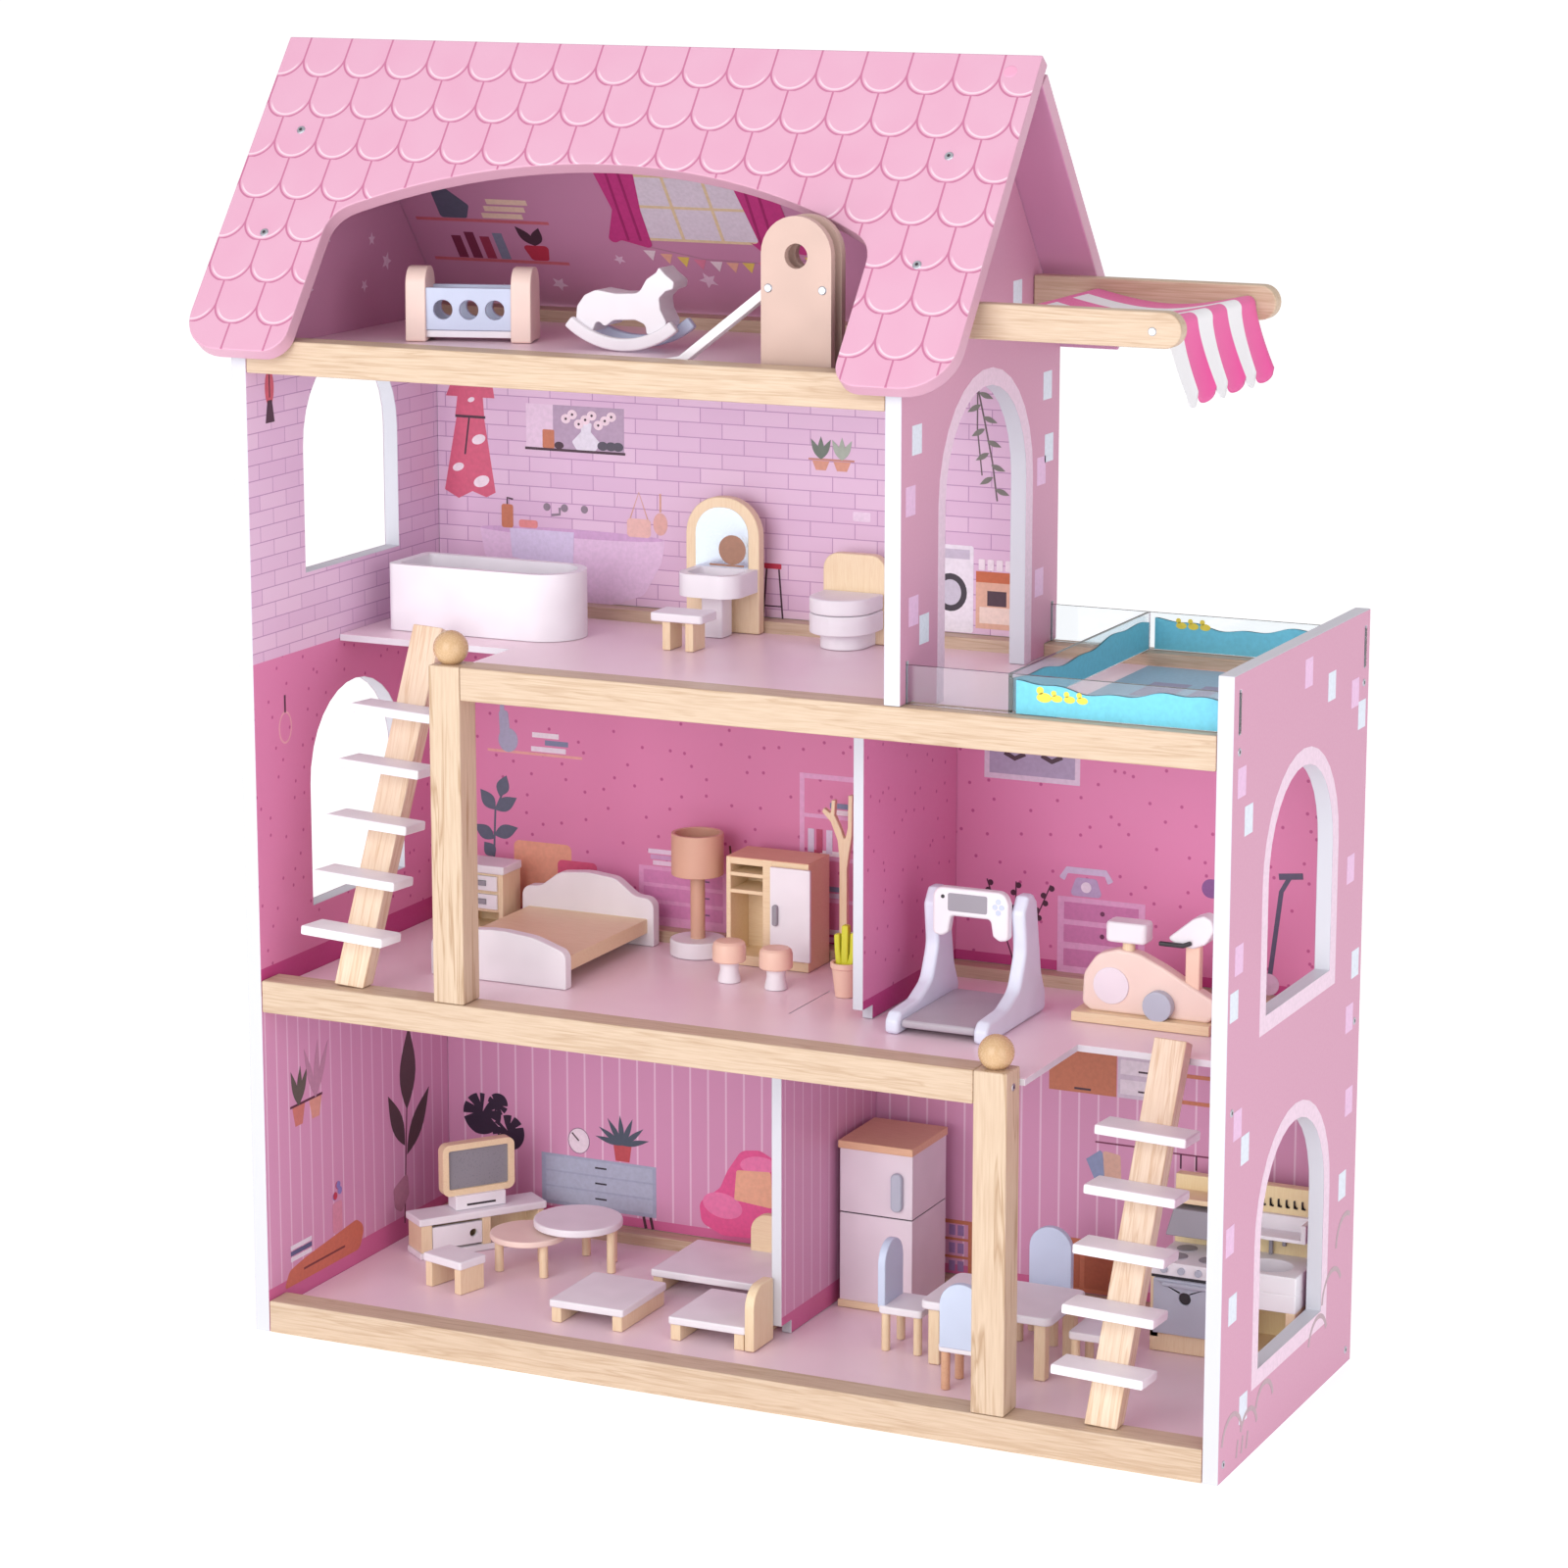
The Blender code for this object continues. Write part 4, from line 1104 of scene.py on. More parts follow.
@dataclass
class Carcass:
    """Printed walls and backs, floors, beams, posts and the uprights between the rooms."""

    trim: RepeatedTrim
    border: float = 12.0
    window_middle: float = 143.5
    window_wide: float = 135.0
    window_high: float = 159.0
    window_sills: tuple[float, ...] = (58.5, 308.0, 557.0)
    door: tuple[float, float, float] = (75.0, 220.0, 712.5)
    recess: float = 0.6
    post_ball: float = 12.5
    floor_thick: float = 5.0
    ladder_hole: float = 121.0
    right_hole: float = 589.0
    left_hole: float = 143.5
    seam: tuple[float, float, float, float] = (371.5, 372.5, 110.0, 180.0)
    foot_high: float = 10.0
    square: tuple[float, float, float] = (16.0, 20.0, 0.1)

    def build(self) -> None:
        """Builds every fixed part of the house below the roof."""
        self.walls()
        self.floors()
        self.timber()
        self.borders()
        self.squares()
        self.screws()

    def windows(self, sills: Iterable[float]) -> list[Outline]:
        """Works out a side wall's window openings.

        Args:
            sills: their sills' heights.

        Returns:
            One outline for each.
        """
        middle = FRONT + self.window_middle
        half = self.window_wide / 2
        return [arched(middle - half, middle + half, sill, sill + self.window_high) for sill in sills]

    def gable(self, bottom: Sequence[Point], peak: float) -> Outline:
        """Adds the eaves and the peak to a wall's lower edge.

        Args:
            bottom: the lower edge, from front to rear, as (depth, height).
            peak: the height of the peak.

        Returns:
            The wall's outline.
        """
        eave = peak - DEPTH / 2 * math.tan(PITCH)
        points = [*bottom, (DEPTH, eave), (DEPTH / 2, peak), (0, eave)]
        return [Vector((FRONT + y, z)) for y, z in points]

    def walls(self) -> None:
        """Builds the three walls, the back panels and the partitions between rooms."""
        left_low, left_high = node_box("left_wall")
        left = self.gable([(0, 0), (DEPTH, 0)], left_high.z)
        self.board("left_wall", PrintedBoard("printed_left_wall", "printed_outer", outer_sign=-1), left,
            left_low.x, left_high.x, self.windows(self.window_sills[1:]))
        second = LEVELS["second"]
        sill, stand, slot_top, rail = second - FLOOR_DROP + GAP, second + GAP, second + 29, RAIL + GAP
        front, rear = ((node_box(pane)[0].y - FRONT - GAP, node_box(pane)[1].y - FRONT + GAP)
            for pane in ("pane_front", "pane_rear"))
        radius = (self.door[1] - self.door[0]) / 2
        doorway = arc(sum(self.door[:2]) / 2, self.door[2] - radius, radius, 180, 0)
        bottom = [(0, stand), (front[0], stand), (front[0], slot_top), (front[1], slot_top), (front[1], stand),
            (rail, stand), (rail, sill), (self.door[0], sill), *doorway, (self.door[1], sill),
            (DEPTH - rail, sill), (DEPTH - rail, stand), (rear[0], stand), (rear[0], slot_top),
            (rear[1], slot_top), (rear[1], stand), (DEPTH, stand)]
        low, high = node_box("tower_wall")
        self.board("tower_wall", PrintedBoard("printed_tower_wall", "printed_outer", outer_sign=1),
            self.gable(bottom, high.z), low.x, high.x)
        low, high = node_box("right_wall")
        slots = [rect(FRONT + ends[0], FRONT + ends[1], stand - 2 * GAP, slot_top) for ends in (front, rear)]
        self.board("right_wall", PrintedBoard("printed_right_wall", "printed_outer", outer_sign=1),
            rect(low.y, high.y, 0, high.z), low.x, high.x - self.recess, [*self.windows(self.window_sills[:2]),
            *slots])
        for room in ("ground", "first", "second"):
            name = f"back_panel_{room}"
            low, high = node_box(name)
            board = PrintedBoard(f"printed_{name}", "room_print", "Y", "X", 1, room)
            cut(f"{name}_board", board, "xz", rect(low.x, high.x, low.z, high.z), low.y, high.y, edge=0.4,
                stands_for=(name,))
        for room, above in (("ground", "first"), ("first", "second")):
            name = f"partition_{room}"
            low, high = node_box(name)
            foot, top = LEVELS[room] + GAP, LEVELS[above] - RAIL - GAP
            rear = FRONT + DEPTH - RAIL - GAP
            front, step = FRONT + PARTITION_FRONT, FRONT + self.ladder_hole
            outline = [(step, low.z), (rear, low.z), (rear, foot), (high.y, foot), (high.y, top), (rear, top),
                (rear, high.z), (front, high.z), (front, low.z + self.foot_high),
                (step, low.z + self.foot_high)]
            board = PrintedBoard(f"printed_{name}", "white_paint", level=room)
            self.board(name, board, outline, low.x, high.x)

    def board(self, node: str, finish: Finish, outline: Points, start: float, end: float,
              holes: Iterable[Points] = ()) -> None:
        """Makes one upright board square to the house's front."""
        cut(f"{node}_board", finish, "yz", outline, start, end, holes, edge=0.7, stands_for=(node,))

    def floors(self) -> None:
        """Builds each floor as a thin pink board with its pine rear rail."""
        film = FloorPrint("pink_floor_film", "floor_pink")
        hole = self.ladder_hole + FRONT
        for node in ("base_deck", "floor_first", "floor_second", "floor_attic"):
            low, high = node_box(node)
            top = high.z - FLOOR_DROP
            front = FRONT + RAIL + 0.3
            rear = FRONT + DEPTH - RAIL + 1
            outline = rect(low.x, high.x, front, rear)
            if node == "floor_first":
                side = INNER_LEFT + self.right_hole
                outline = [(low.x, front), (side, front), (side, hole), (high.x, hole), (high.x, rear),
                    (low.x, rear)]
            if node == "floor_second":
                side = INNER_LEFT + self.left_hole
                outline = [(side, front), (high.x, front), (high.x, rear), (low.x, rear), (low.x, hole),
                    (side, hole)]
            slots = []
            if node == "floor_first":
                left, right, near, far = self.seam
                slots.append(rect(INNER_LEFT + left, INNER_LEFT + right, FRONT + near, FRONT + far))
            cut(f"{node}_board", film, "xy", outline, top - self.floor_thick, top, slots, edge=0.3,
                stands_for=(node,))
            rails = {"rear": (FRONT + DEPTH - RAIL, FRONT + DEPTH)}
            if node == "base_deck":
                rails["front"] = (FRONT, FRONT + RAIL)
            for side, (start, end) in rails.items():
                cut(f"{node}_rail_{side}", PINE_X, "xy", rect(low.x, high.x, start, end), high.z - RAIL, high.z,
                    edge=1.0)

    def timber(self) -> None:
        """Builds the front beams and the posts with their turned balls."""
        for node in ("beam_first", "beam_second", "beam_attic"):
            low, high = node_box(node)
            cut(f"{node}_timber", PINE_X, "xy", rect(low.x, high.x, low.y, high.y), low.z, high.z, edge=1.2,
                stands_for=(node,))
        for node, level in (("post_left", "second"), ("post_right", "first")):
            low, high = node_box(node)
            top = LEVELS[level]
            cut(f"{node}_shaft", PINE_Z, "xy", rect(low.x, high.x, low.y, high.y), low.z, top, edge=1.2,
                stands_for=(node,))
            mesh = bmesh.new()
            middle = top + self.post_ball - 1.5
            around = [(self.post_ball * math.cos(math.radians(t)),
                middle + self.post_ball * math.sin(math.radians(t))) for t in range(-75, 90, 7)]
            add_turned(mesh, [(0, around[0][1]), *around, (0, middle + self.post_ball)], low.x + RAIL / 2,
                low.y + RAIL / 2)
            piece(f"{node}_ball", mesh, BALL, edge=0)

    def borders(self) -> None:
        """Prints the lilac borders round the windows and the tower doorway."""
        lilac = Ink("ink_lilac_border", "printed_outer", "#E6CBDD")
        middle, wide = FRONT + self.window_middle, self.window_wide / 2 + self.border
        faces = [("left", node_box("left_wall")[0].x, -1, self.window_sills[1:]),
            ("right", node_box("right_wall")[1].x - self.recess, 1, self.window_sills[:2])]
        for name, x, sign, sills in faces:
            mesh = bmesh.new()
            for sill, opening in zip(sills, self.windows(sills)):
                outer = arched(middle - wide, middle + wide, sill - self.border,
                    sill + self.window_high + self.border)
                add_plate(mesh, "yz", outer, x, x + sign * PRINT_THICK, [opening])
            piece(f"{name}_wall_borders", mesh, lilac, edge=0)
        face = node_box("tower_wall")[1].x
        floor = LEVELS["second"] - FLOOR_DROP + 0.4
        front, rear, top = FRONT + self.door[0], FRONT + self.door[1], self.door[2]
        radius = (rear - front) / 2
        inner = arc((front + rear) / 2, top - radius, radius, 0, 180)
        outer = arc((front + rear) / 2, top - radius, radius + self.border, 180, 0)
        outline = [(front - self.border, floor), *outer, (rear + self.border, floor), (rear, floor), *inner,
            (front, floor)]
        cut("tower_door_border", lilac, "yz", outline, face, face + PRINT_THICK, edge=0)

    def squares(self) -> None:
        """Scatters the printed squares of the outer faces, clear of the windows."""
        right = node_box("right_wall")[1].x - self.recess
        tower = node_box("tower_wall")[1].x
        lilac = Ink("ink_lilac_square", "printed_outer", "#E3B9DC")
        pale = Ink("ink_pale_square", "printed_outer", "#DCE3EF")
        spots = {"right": (right, [(18, 480), (33, 452), (252, 498), (268, 480), (20, 360), (12, 330),
            (252, 372), (268, 300), (24, 246), (40, 225), (258, 262), (252, 140), (14, 168), (22, 118),
            (262, 200), (48, 40), (150, 530), (200, 512)]), "tower": (tower, [(22, 575), (40, 560), (16, 650),
            (26, 690), (248, 640), (262, 655), (246, 560), (258, 700), (120, 760), (200, 770), (140, 850)])}
        for name, (x, places) in spots.items():
            for k, ink in enumerate((lilac, pale)):
                heads = [((x + 0.06, FRONT + y, z), (1, 0, 0)) for y, z in places[k::2]]
                self.trim.spread(f"{name}_squares_{k}", ink, heads, *self.square, False)

    def screws(self) -> None:
        """Sets the screw heads of the right wall and the post."""
        x = node_box("right_wall")[1].x - self.recess
        places = [(12, 501), (271, 502), (270, 257), (12, 257), (10, 12), (270, 11)]
        heads = [((x - SCREW_SINK, FRONT + y, z), (1, 0, 0)) for y, z in places]
        left = node_box("left_wall")[0].x
        heads += [((left + SCREW_SINK, FRONT + y, z), (-1, 0, 0)) for y, z in [*places, (12, 723), (270, 723)]]
        post = node_box("post_right")
        heads.append(((post[1].x - SCREW_SINK, FRONT + 12, LEVELS["first"] - 12), (1, 0, 0)))
        self.trim.screws("wall_screws", heads, sockets=True)


@dataclass
class Roof:
    """The two printed slopes, the front one with its arched cut-out."""

    trim: RepeatedTrim
    thick: float = 12.0
    slope: float = 264.0
    rear_slope: float = 247.0
    arch_radius: float = 460.0
    arch_top: float = 99.5
    leg_left: float = 41.0
    leg_right: float = 462.0
    spring_left: float = 148.0
    spring_right: float = 153.0
    arch_shift: float = -5.0
    screw_wide: float = 7.0
    plug_wide: float = 11.0

    def panel(self, name: str, outline: Points, at: Vector, pitch: float, finish: Finish) -> None:
        """Makes one slope from its outline, across and along it, about a place and a tilt."""
        place = Matrix.Translation(at) @ Matrix.Rotation(pitch, 4, "X")
        cut(f"{name}_panel", finish, "xy", outline, -self.thick, 0, edge=1.2, stands_for=(name,), place=place)

    def build(self) -> None:
        """Builds both slopes and their screws."""
        low, high = node_box("roof_front")
        left, right = low.x, high.x
        shift = INNER_LEFT
        middle = shift + (self.leg_left + self.leg_right) / 2 + self.arch_shift
        arch = arc(middle, -self.arch_top - self.arch_radius, self.arch_radius, 66, 114, 24)
        cut_left, cut_right = shift + self.leg_left, shift + self.leg_right
        corners = [(left, 0), (left, -self.slope), (cut_left, -self.slope), (cut_left, -self.spring_left),
            *arch[::-1], (cut_right, -self.spring_right), (cut_right, -self.slope), (right, -self.slope),
            (right, 0)]
        radii = [0, 30, 18, 25, *[0] * len(arch), 25, 18, 35, 0]
        front = Vector((0, high.y - self.thick * math.sin(PITCH), high.z))
        shingles = ShinglePrint("printed_shingles_front", "roof_print")
        self.panel("roof_front", rounded(corners, radii), front, PITCH, shingles)
        rear_low, rear_high = node_box("roof_rear")
        at = Vector((0, rear_low.y + self.thick * math.sin(PITCH), rear_high.z))
        shingles = ShinglePrint("printed_shingles_rear", "roof_print", inside=RoomPaper.STARS, outward_y=1)
        self.panel("roof_rear", rect(left, right, 0, self.rear_slope - 0.5), at, -PITCH, shingles)

        out = Vector((0, -math.sin(PITCH), math.cos(PITCH)))
        down = Vector((0, -math.cos(PITCH), -math.sin(PITCH)))
        places = [(-6, 80), (-6, 167), (499.5, 83), (499.5, 169)]
        heads = [(front + Vector((shift + x, 0, 0)) + down * s - out * 0.2, out) for x, s in places]
        self.trim.screws("roof_screws", heads, self.screw_wide, sockets=True)
        plug = [(front + Vector((shift + 526, 0, 0)) + down * 14 - out * 0.3, out)]
        pink = SatinPaint("pink_plug", "roof_print", "#DF9DBB")
        self.trim.spread("roof_plug", pink, plug, self.plug_wide, self.plug_wide, 0.6, True)


@dataclass
class Awning:
    """Pine arms and rods on the tower, the striped cotton cloth over them, and the clear panes below."""

    trim: RepeatedTrim
    CLOTH_WIDTH = 173.0
    HEM = 14.0  # depth of the pink band along the inner edge
    tails: int = 6
    hang: float = 52.0
    rod: float = 4.5
    rods_at: tuple[float, float] = (555.0, 665.0)
    rod_high: float = 11.0
    sag: float = 8.0
    scallop: float = 9.0
    ripple: float = 57.0
    tail_faces: int = 14
    cloth_thick: float = 0.6
    water_from: float = 585.0

    def build(self) -> None:
        """Builds the frame, the cloth and the panes with their printed water."""
        bench = Workbench("awning_frame")
        low, high = node_box("awning_frame")
        wide, deep = high.x - low.x, high.y - low.y
        arm = rect(-wide / 2, wide / 2, 0, RAIL, (0, 11.9, 11.9, 0))
        sides = (-deep / 2, deep / 2 - WALL_THICK)
        bench.boards("arms", PINE_X, [("xz", arm, y, y + WALL_THICK) for y in sides], 1.2)
        inner, outer = (INNER_LEFT + x for x in self.rods_at)
        middle = (low.x + high.x) / 2
        rods = [((x - middle, -deep / 2 + 2, self.rod_high), (x - middle, deep / 2 - 2, self.rod_high))
            for x in (inner, outer)]
        bench.rods("rods", BEECH_X, rods, self.rod)
        height = low.z + self.rod_high
        heads = [((x, y, z), (0, side, 0)) for side, y in ((-1, low.y + 0.4), (1, high.y - 0.4))
            for x, z in ((low.x + 10, height + 1), (outer, height))]
        self.trim.screws("awning_screws", heads)
        self.cloth(inner, outer, height)
        self.panes()

    def path(self, inner: float, outer: float, height: float) -> list[Vector]:
        """Works out the cloth's middle line over both rods.

        Args:
            inner, outer: the rods' places across the house.
            height: the rods' height.

        Returns:
            Points (x, z) from the inner hem to the hanging end.
        """
        over = self.rod + 0.9
        rise = [Vector((p.x, p.y)) for p in arc(inner, height, over, 200, 75, 8)]
        span = outer - inner - 2 * over * math.sin(math.radians(15))
        start = rise[-1]
        sag = [Vector((start.x + span * t, start.y - self.sag * math.sin(math.pi * t)))
            for t in (k / 22 for k in range(1, 22))]
        fall = arc(outer, height, over, 105, 0, 7)
        end = fall[-1]
        tail = [Vector((end.x + 13 * t ** 1.4, end.y - self.hang * t)) for t in (k / 14 for k in range(1, 15))]
        return [*rise, *sag, *fall, *tail]

    def cloth(self, inner: float, outer: float, height: float) -> None:
        """Lays the cloth over the rods, with soft ripples and a scalloped end.

        Args:
            inner, outer, height: the rods' places.
        """
        low, high = node_box("awning_cloth")
        path = self.path(inner, outer, height)
        steps = [0.0]
        for a, b in zip(path, path[1:]):
            steps.append(steps[-1] + (b - a).length)
        total = steps[-1]
        across = self.tails * self.tail_faces
        mesh = bmesh.new()
        layer = mesh.loops.layers.uv.new("cloth")
        scale = (high.y - low.y) / self.CLOTH_WIDTH
        rows = []
        coords = {}
        for along, point in zip(steps, path):
            row = []
            hanging = max(0.0, (along - (total - self.hang)) / self.hang)
            for k in range(across + 1):
                w = self.CLOTH_WIDTH * k / across
                strip = (w / self.CLOTH_WIDTH * self.tails) % 1.0
                lift = (1 - math.sqrt(max(0.0, 1 - (2 * strip - 1) ** 2))) * self.scallop * hanging
                loose = min(1.0, along / 30) * (0.35 + 1.6 * hanging)
                ripple = loose * math.sin(math.tau * w / self.ripple + 0.8) * 0.8
                x = point.x + (ripple if hanging else 0) + 0.6 * hanging * math.sin(w / 9)
                slack = math.sin(math.pi * min(1, along / (total - self.hang)))
                z = point.y + lift + (0 if hanging else ripple * slack)
                vert = mesh.verts.new((x, low.y + w * scale, z))
                coords[vert] = (w, along)
                row.append(vert)
            rows.append(row)
        for first, second in zip(rows, rows[1:]):
            for k in range(across):
                face = mesh.faces.new((first[k], first[k + 1], second[k + 1], second[k]))
                for loop in face.loops:
                    loop[layer].uv = coords[loop.vert]
        cotton = StripedCotton("striped_cotton", "awning_cotton")
        obj = piece("awning_cloth_cotton", mesh, cotton, edge=0, stands_for=("awning_cloth",))
        obj.data.shade_smooth()
        wall = obj.modifiers.new("cloth thickness", "SOLIDIFY")
        wall.thickness = self.cloth_thick * MM
        wall.offset = 0

    def panes(self) -> None:
        """Dresses the clear panes and prints the water and ducks on them."""
        clear = Acrylic("clear_acrylic_sheet", "clear_acrylic")
        for node in ("pane_front", "pane_middle", "pane_rear"):
            obj = frame["nodes"][node]
            obj.data.materials.clear()
            obj.data.materials.append(clear.material())
        water = Ink("ink_pool_water", "clear_acrylic", "#6CC6DC")
        start = INNER_LEFT + self.water_from
        for node in ("pane_front", "pane_rear", "pane_middle"):
            low, high = node_box(node)
            mesh = bmesh.new()
            plane, left, right, faces = "xz", start, INNER_RIGHT - 0.5, (low.y, high.y)
            if node == "pane_middle":
                plane, left, right, faces = "yz", low.y + 2, high.y - 2, (low.x, high.x)
            wave = [Vector((right + (left - right) * t,
                high.z - 7 + 2.6 * math.sin(t * math.tau * 1.3) + math.sin(t * math.tau * 4.2)))
                for t in (k / 60 for k in range(61))]
            outline = [Vector((left, low.z + 0.5)), Vector((right, low.z + 0.5)), *wave]
            for face, sign in zip(faces, (-1, 1)):
                add_plate(mesh, plane, outline, face, face + sign * PRINT_THICK)
            piece(f"{node}_water", mesh, water, edge=0)
        floor = PrintedWall("pool", Vector((INNER_LEFT, FRONT, LEVELS["second"] - FLOOR_DROP)),
            Vector((1, 0, 0)), Vector((0, 1, 0)))
        floor.box("#9DC3D8", 586, 728, 26, 256)
        for edges in ((610, 640, 60, 110), (650, 664, 60, 200), (664, 700, 60, 84), (612, 640, 150, 200)):
            floor.box("#9C9DBA", *edges, 1)
        floor.finish()
        yellow = Ink("ink_duck_yellow", "clear_acrylic", "#EBD64A")
        low, high = node_box("pane_front")
        mesh = bmesh.new()
        for k in range(4):
            x = start + 20 + 9 * k
            size = 1.0 + 0.35 * (k == 0)
            for shape in (oval(x, high.z - 14, 4 * size, 2.4 * size), oval(x - 2.2 * size,
                    high.z - 14 + 3.4 * size, 1.9 * size, 1.9 * size)):
                add_plate(mesh, "xz", shape, low.y - PRINT_THICK, low.y - PRINT_THICK * 2)
        low, high = node_box("pane_rear")
        for k in range(3):
            x = start + 20 + 9 * k
            for shape in (oval(x, high.z - 8, 4, 2.4), oval(x - 2.2, high.z - 4.6, 1.9, 1.9)):
                add_plate(mesh, "xz", shape, low.y - PRINT_THICK, low.y - PRINT_THICK * 2)
        piece("pane_ducks", mesh, yellow, edge=0)


@dataclass
class Ladders:
    """Two ladders, each one broad pine rail with white treads on its front."""

    lean: float = 22.0
    rail_wide: float = 24.0
    rail_thick: float = 14.0
    rail_long: float = 269.0
    tread: tuple[float, float, float] = (67.0, 30.0, 7.0)
    first: float = 45.0
    step: float = 41.3
    count: int = 5

    def build(self) -> None:
        """Builds both ladders at the lean that their hinges start from."""
        joints = {joint["child"]: joint for joint in frame["record"]["behaviour"]["joints"]}
        level = math.radians(self.lean - 4)
        lean = math.radians(self.lean)
        for node, roll in (("ladder_left", 3.0), ("ladder_right", 2.0)):
            foot = Vector(joints[node]["pos_m"]) / MM
            turn = Matrix.Rotation(math.radians(roll), 4, "Y") @ Matrix.Rotation(-lean, 4, "X")
            place = Matrix.Translation(foot) @ turn
            outline = [(0, 0), (self.rail_thick, self.rail_thick * math.tan(lean)),
                (self.rail_thick, self.rail_long), (0, self.rail_long)]
            cut(f"{node}_rail", PINE_LADDER, "yz", outline, -self.rail_wide, 0, body=node, edge=1.0,
                stands_for=(node,), place=place)
            wide, deep, thick = self.tread
            middle = -self.rail_wide / 2
            mesh = bmesh.new()
            for k in range(self.count):
                height = self.first + k * self.step
                path = [Vector((1.0, height + math.tan(level) - thick / 2)),
                    Vector((1.5 - deep * math.cos(level), height - deep * math.sin(level) - thick / 2))]
                add_plate(mesh, "yz", ribbon(path, thick), middle - wide / 2, middle + wide / 2)
            piece(f"{node}_treads", mesh, WHITE, node, 1.4, (), place)


# ---------------------------------------------------------------- furniture


@dataclass
class Attic:
    """Slide, crib and rocking horse."""

    trim: RepeatedTrim
    slide_high: float = 108.5
    crib_turn: float = 17.0
    horse_thick: float = 23.0
    rocker_radius: float = 69.4

    def build(self) -> None:
        """Builds the attic's toys."""
        slide = Workbench("slide", centre=(-39, 0, 0))
        side = rect(-26, 26, 0, self.slide_high, (0, 0, 25.9, 25.9))
        hole = oval(0, 81.7, 8.5, 8.5)
        slide.boards("uprights", TAN, [("xz", side, y, y + 6, [hole]) for y in (-11.5, 5.5)], 1.0)
        chute = ribbon([(-104, 3.5), (-90, 6.5), (-23, 58.5), (-14, 58.8)], 6.2)
        slide.boards("chute", WHITE, [("xz", chute, -5.4, 5.4)], 0.8)
        place = slide.place()
        heads = [(place @ Vector((x, -11.3, 59.5)), (0, -1, 0)) for x in (-20.5, 19.5)]
        self.trim.screws("slide_screws", heads, body="slide")

        crib = Workbench("crib", turn=self.crib_turn, centre=(46, 18, 0))
        end = rounded([(0, 0), (9, 0), (12, 7), (24, 7), (27, 0), (36, 0), (35.5, 10), (34, 53), (2, 53),
            (0.5, 10)], (2, 1, 2, 2, 1, 2, 3, 14, 14, 3))
        crib.boards("ends", BLUSH, [("yz", end, x, x + 14.8) for x in (0.1, 77)], 1.6)
        holes = [oval(46 + step, 23, 7, 7) for step in (-19, 0, 19)]
        crib.boards("sides", SKY, [("xz", rect(14, 78, 8.3, 38.7), y, y + 4, holes) for y in (3.5, 28.5)], 0.7)
        crib.blocks("base", WHITE, [(14, 78, 4.5, 31.5, 3.0, 8.0), (14, 78, 7.6, 28.4, 9.5, 14)], 0.7)

        horse = Workbench("rocking_horse", centre=(0, 0, -0.2))
        body = [(-38, 20), (-33, 13), (-25, 12), (-21, 21), (-15, 16), (-8, 21), (9, 22), (17, 19), (18, 12),
            (30, 13), (34, 21), (29, 30), (28, 38), (33, 43), (39, 45), (40, 50), (33, 55), (28, 60),
            (25.5, 56), (18, 51), (12, 41), (-6, 40), (-22, 42), (-31, 38), (-37, 30)]
        radii = [3, 3, 2, 3, 3, 6, 5, 4, 2, 2, 4, 4, 3, 2, 2, 2.5, 3, 1, 1, 6, 8, 10, 8, 6, 5]
        horse.boards("body", WHITE, [("xz", rounded(body, radii), -self.horse_thick / 2, self.horse_thick / 2)],
            1.6)
        radius = self.rocker_radius
        rocker = [*arc(0, radius, radius, 230, 310, 20), *arc(0, radius, radius - 9, 310, 230, 20)]
        for name, y, finish in (("rocker_front", -17, WHITE), ("rocker_rear", 11, SKY)):
            horse.boards(name, finish, [("xz", rocker, y, y + 6)], 1.6)


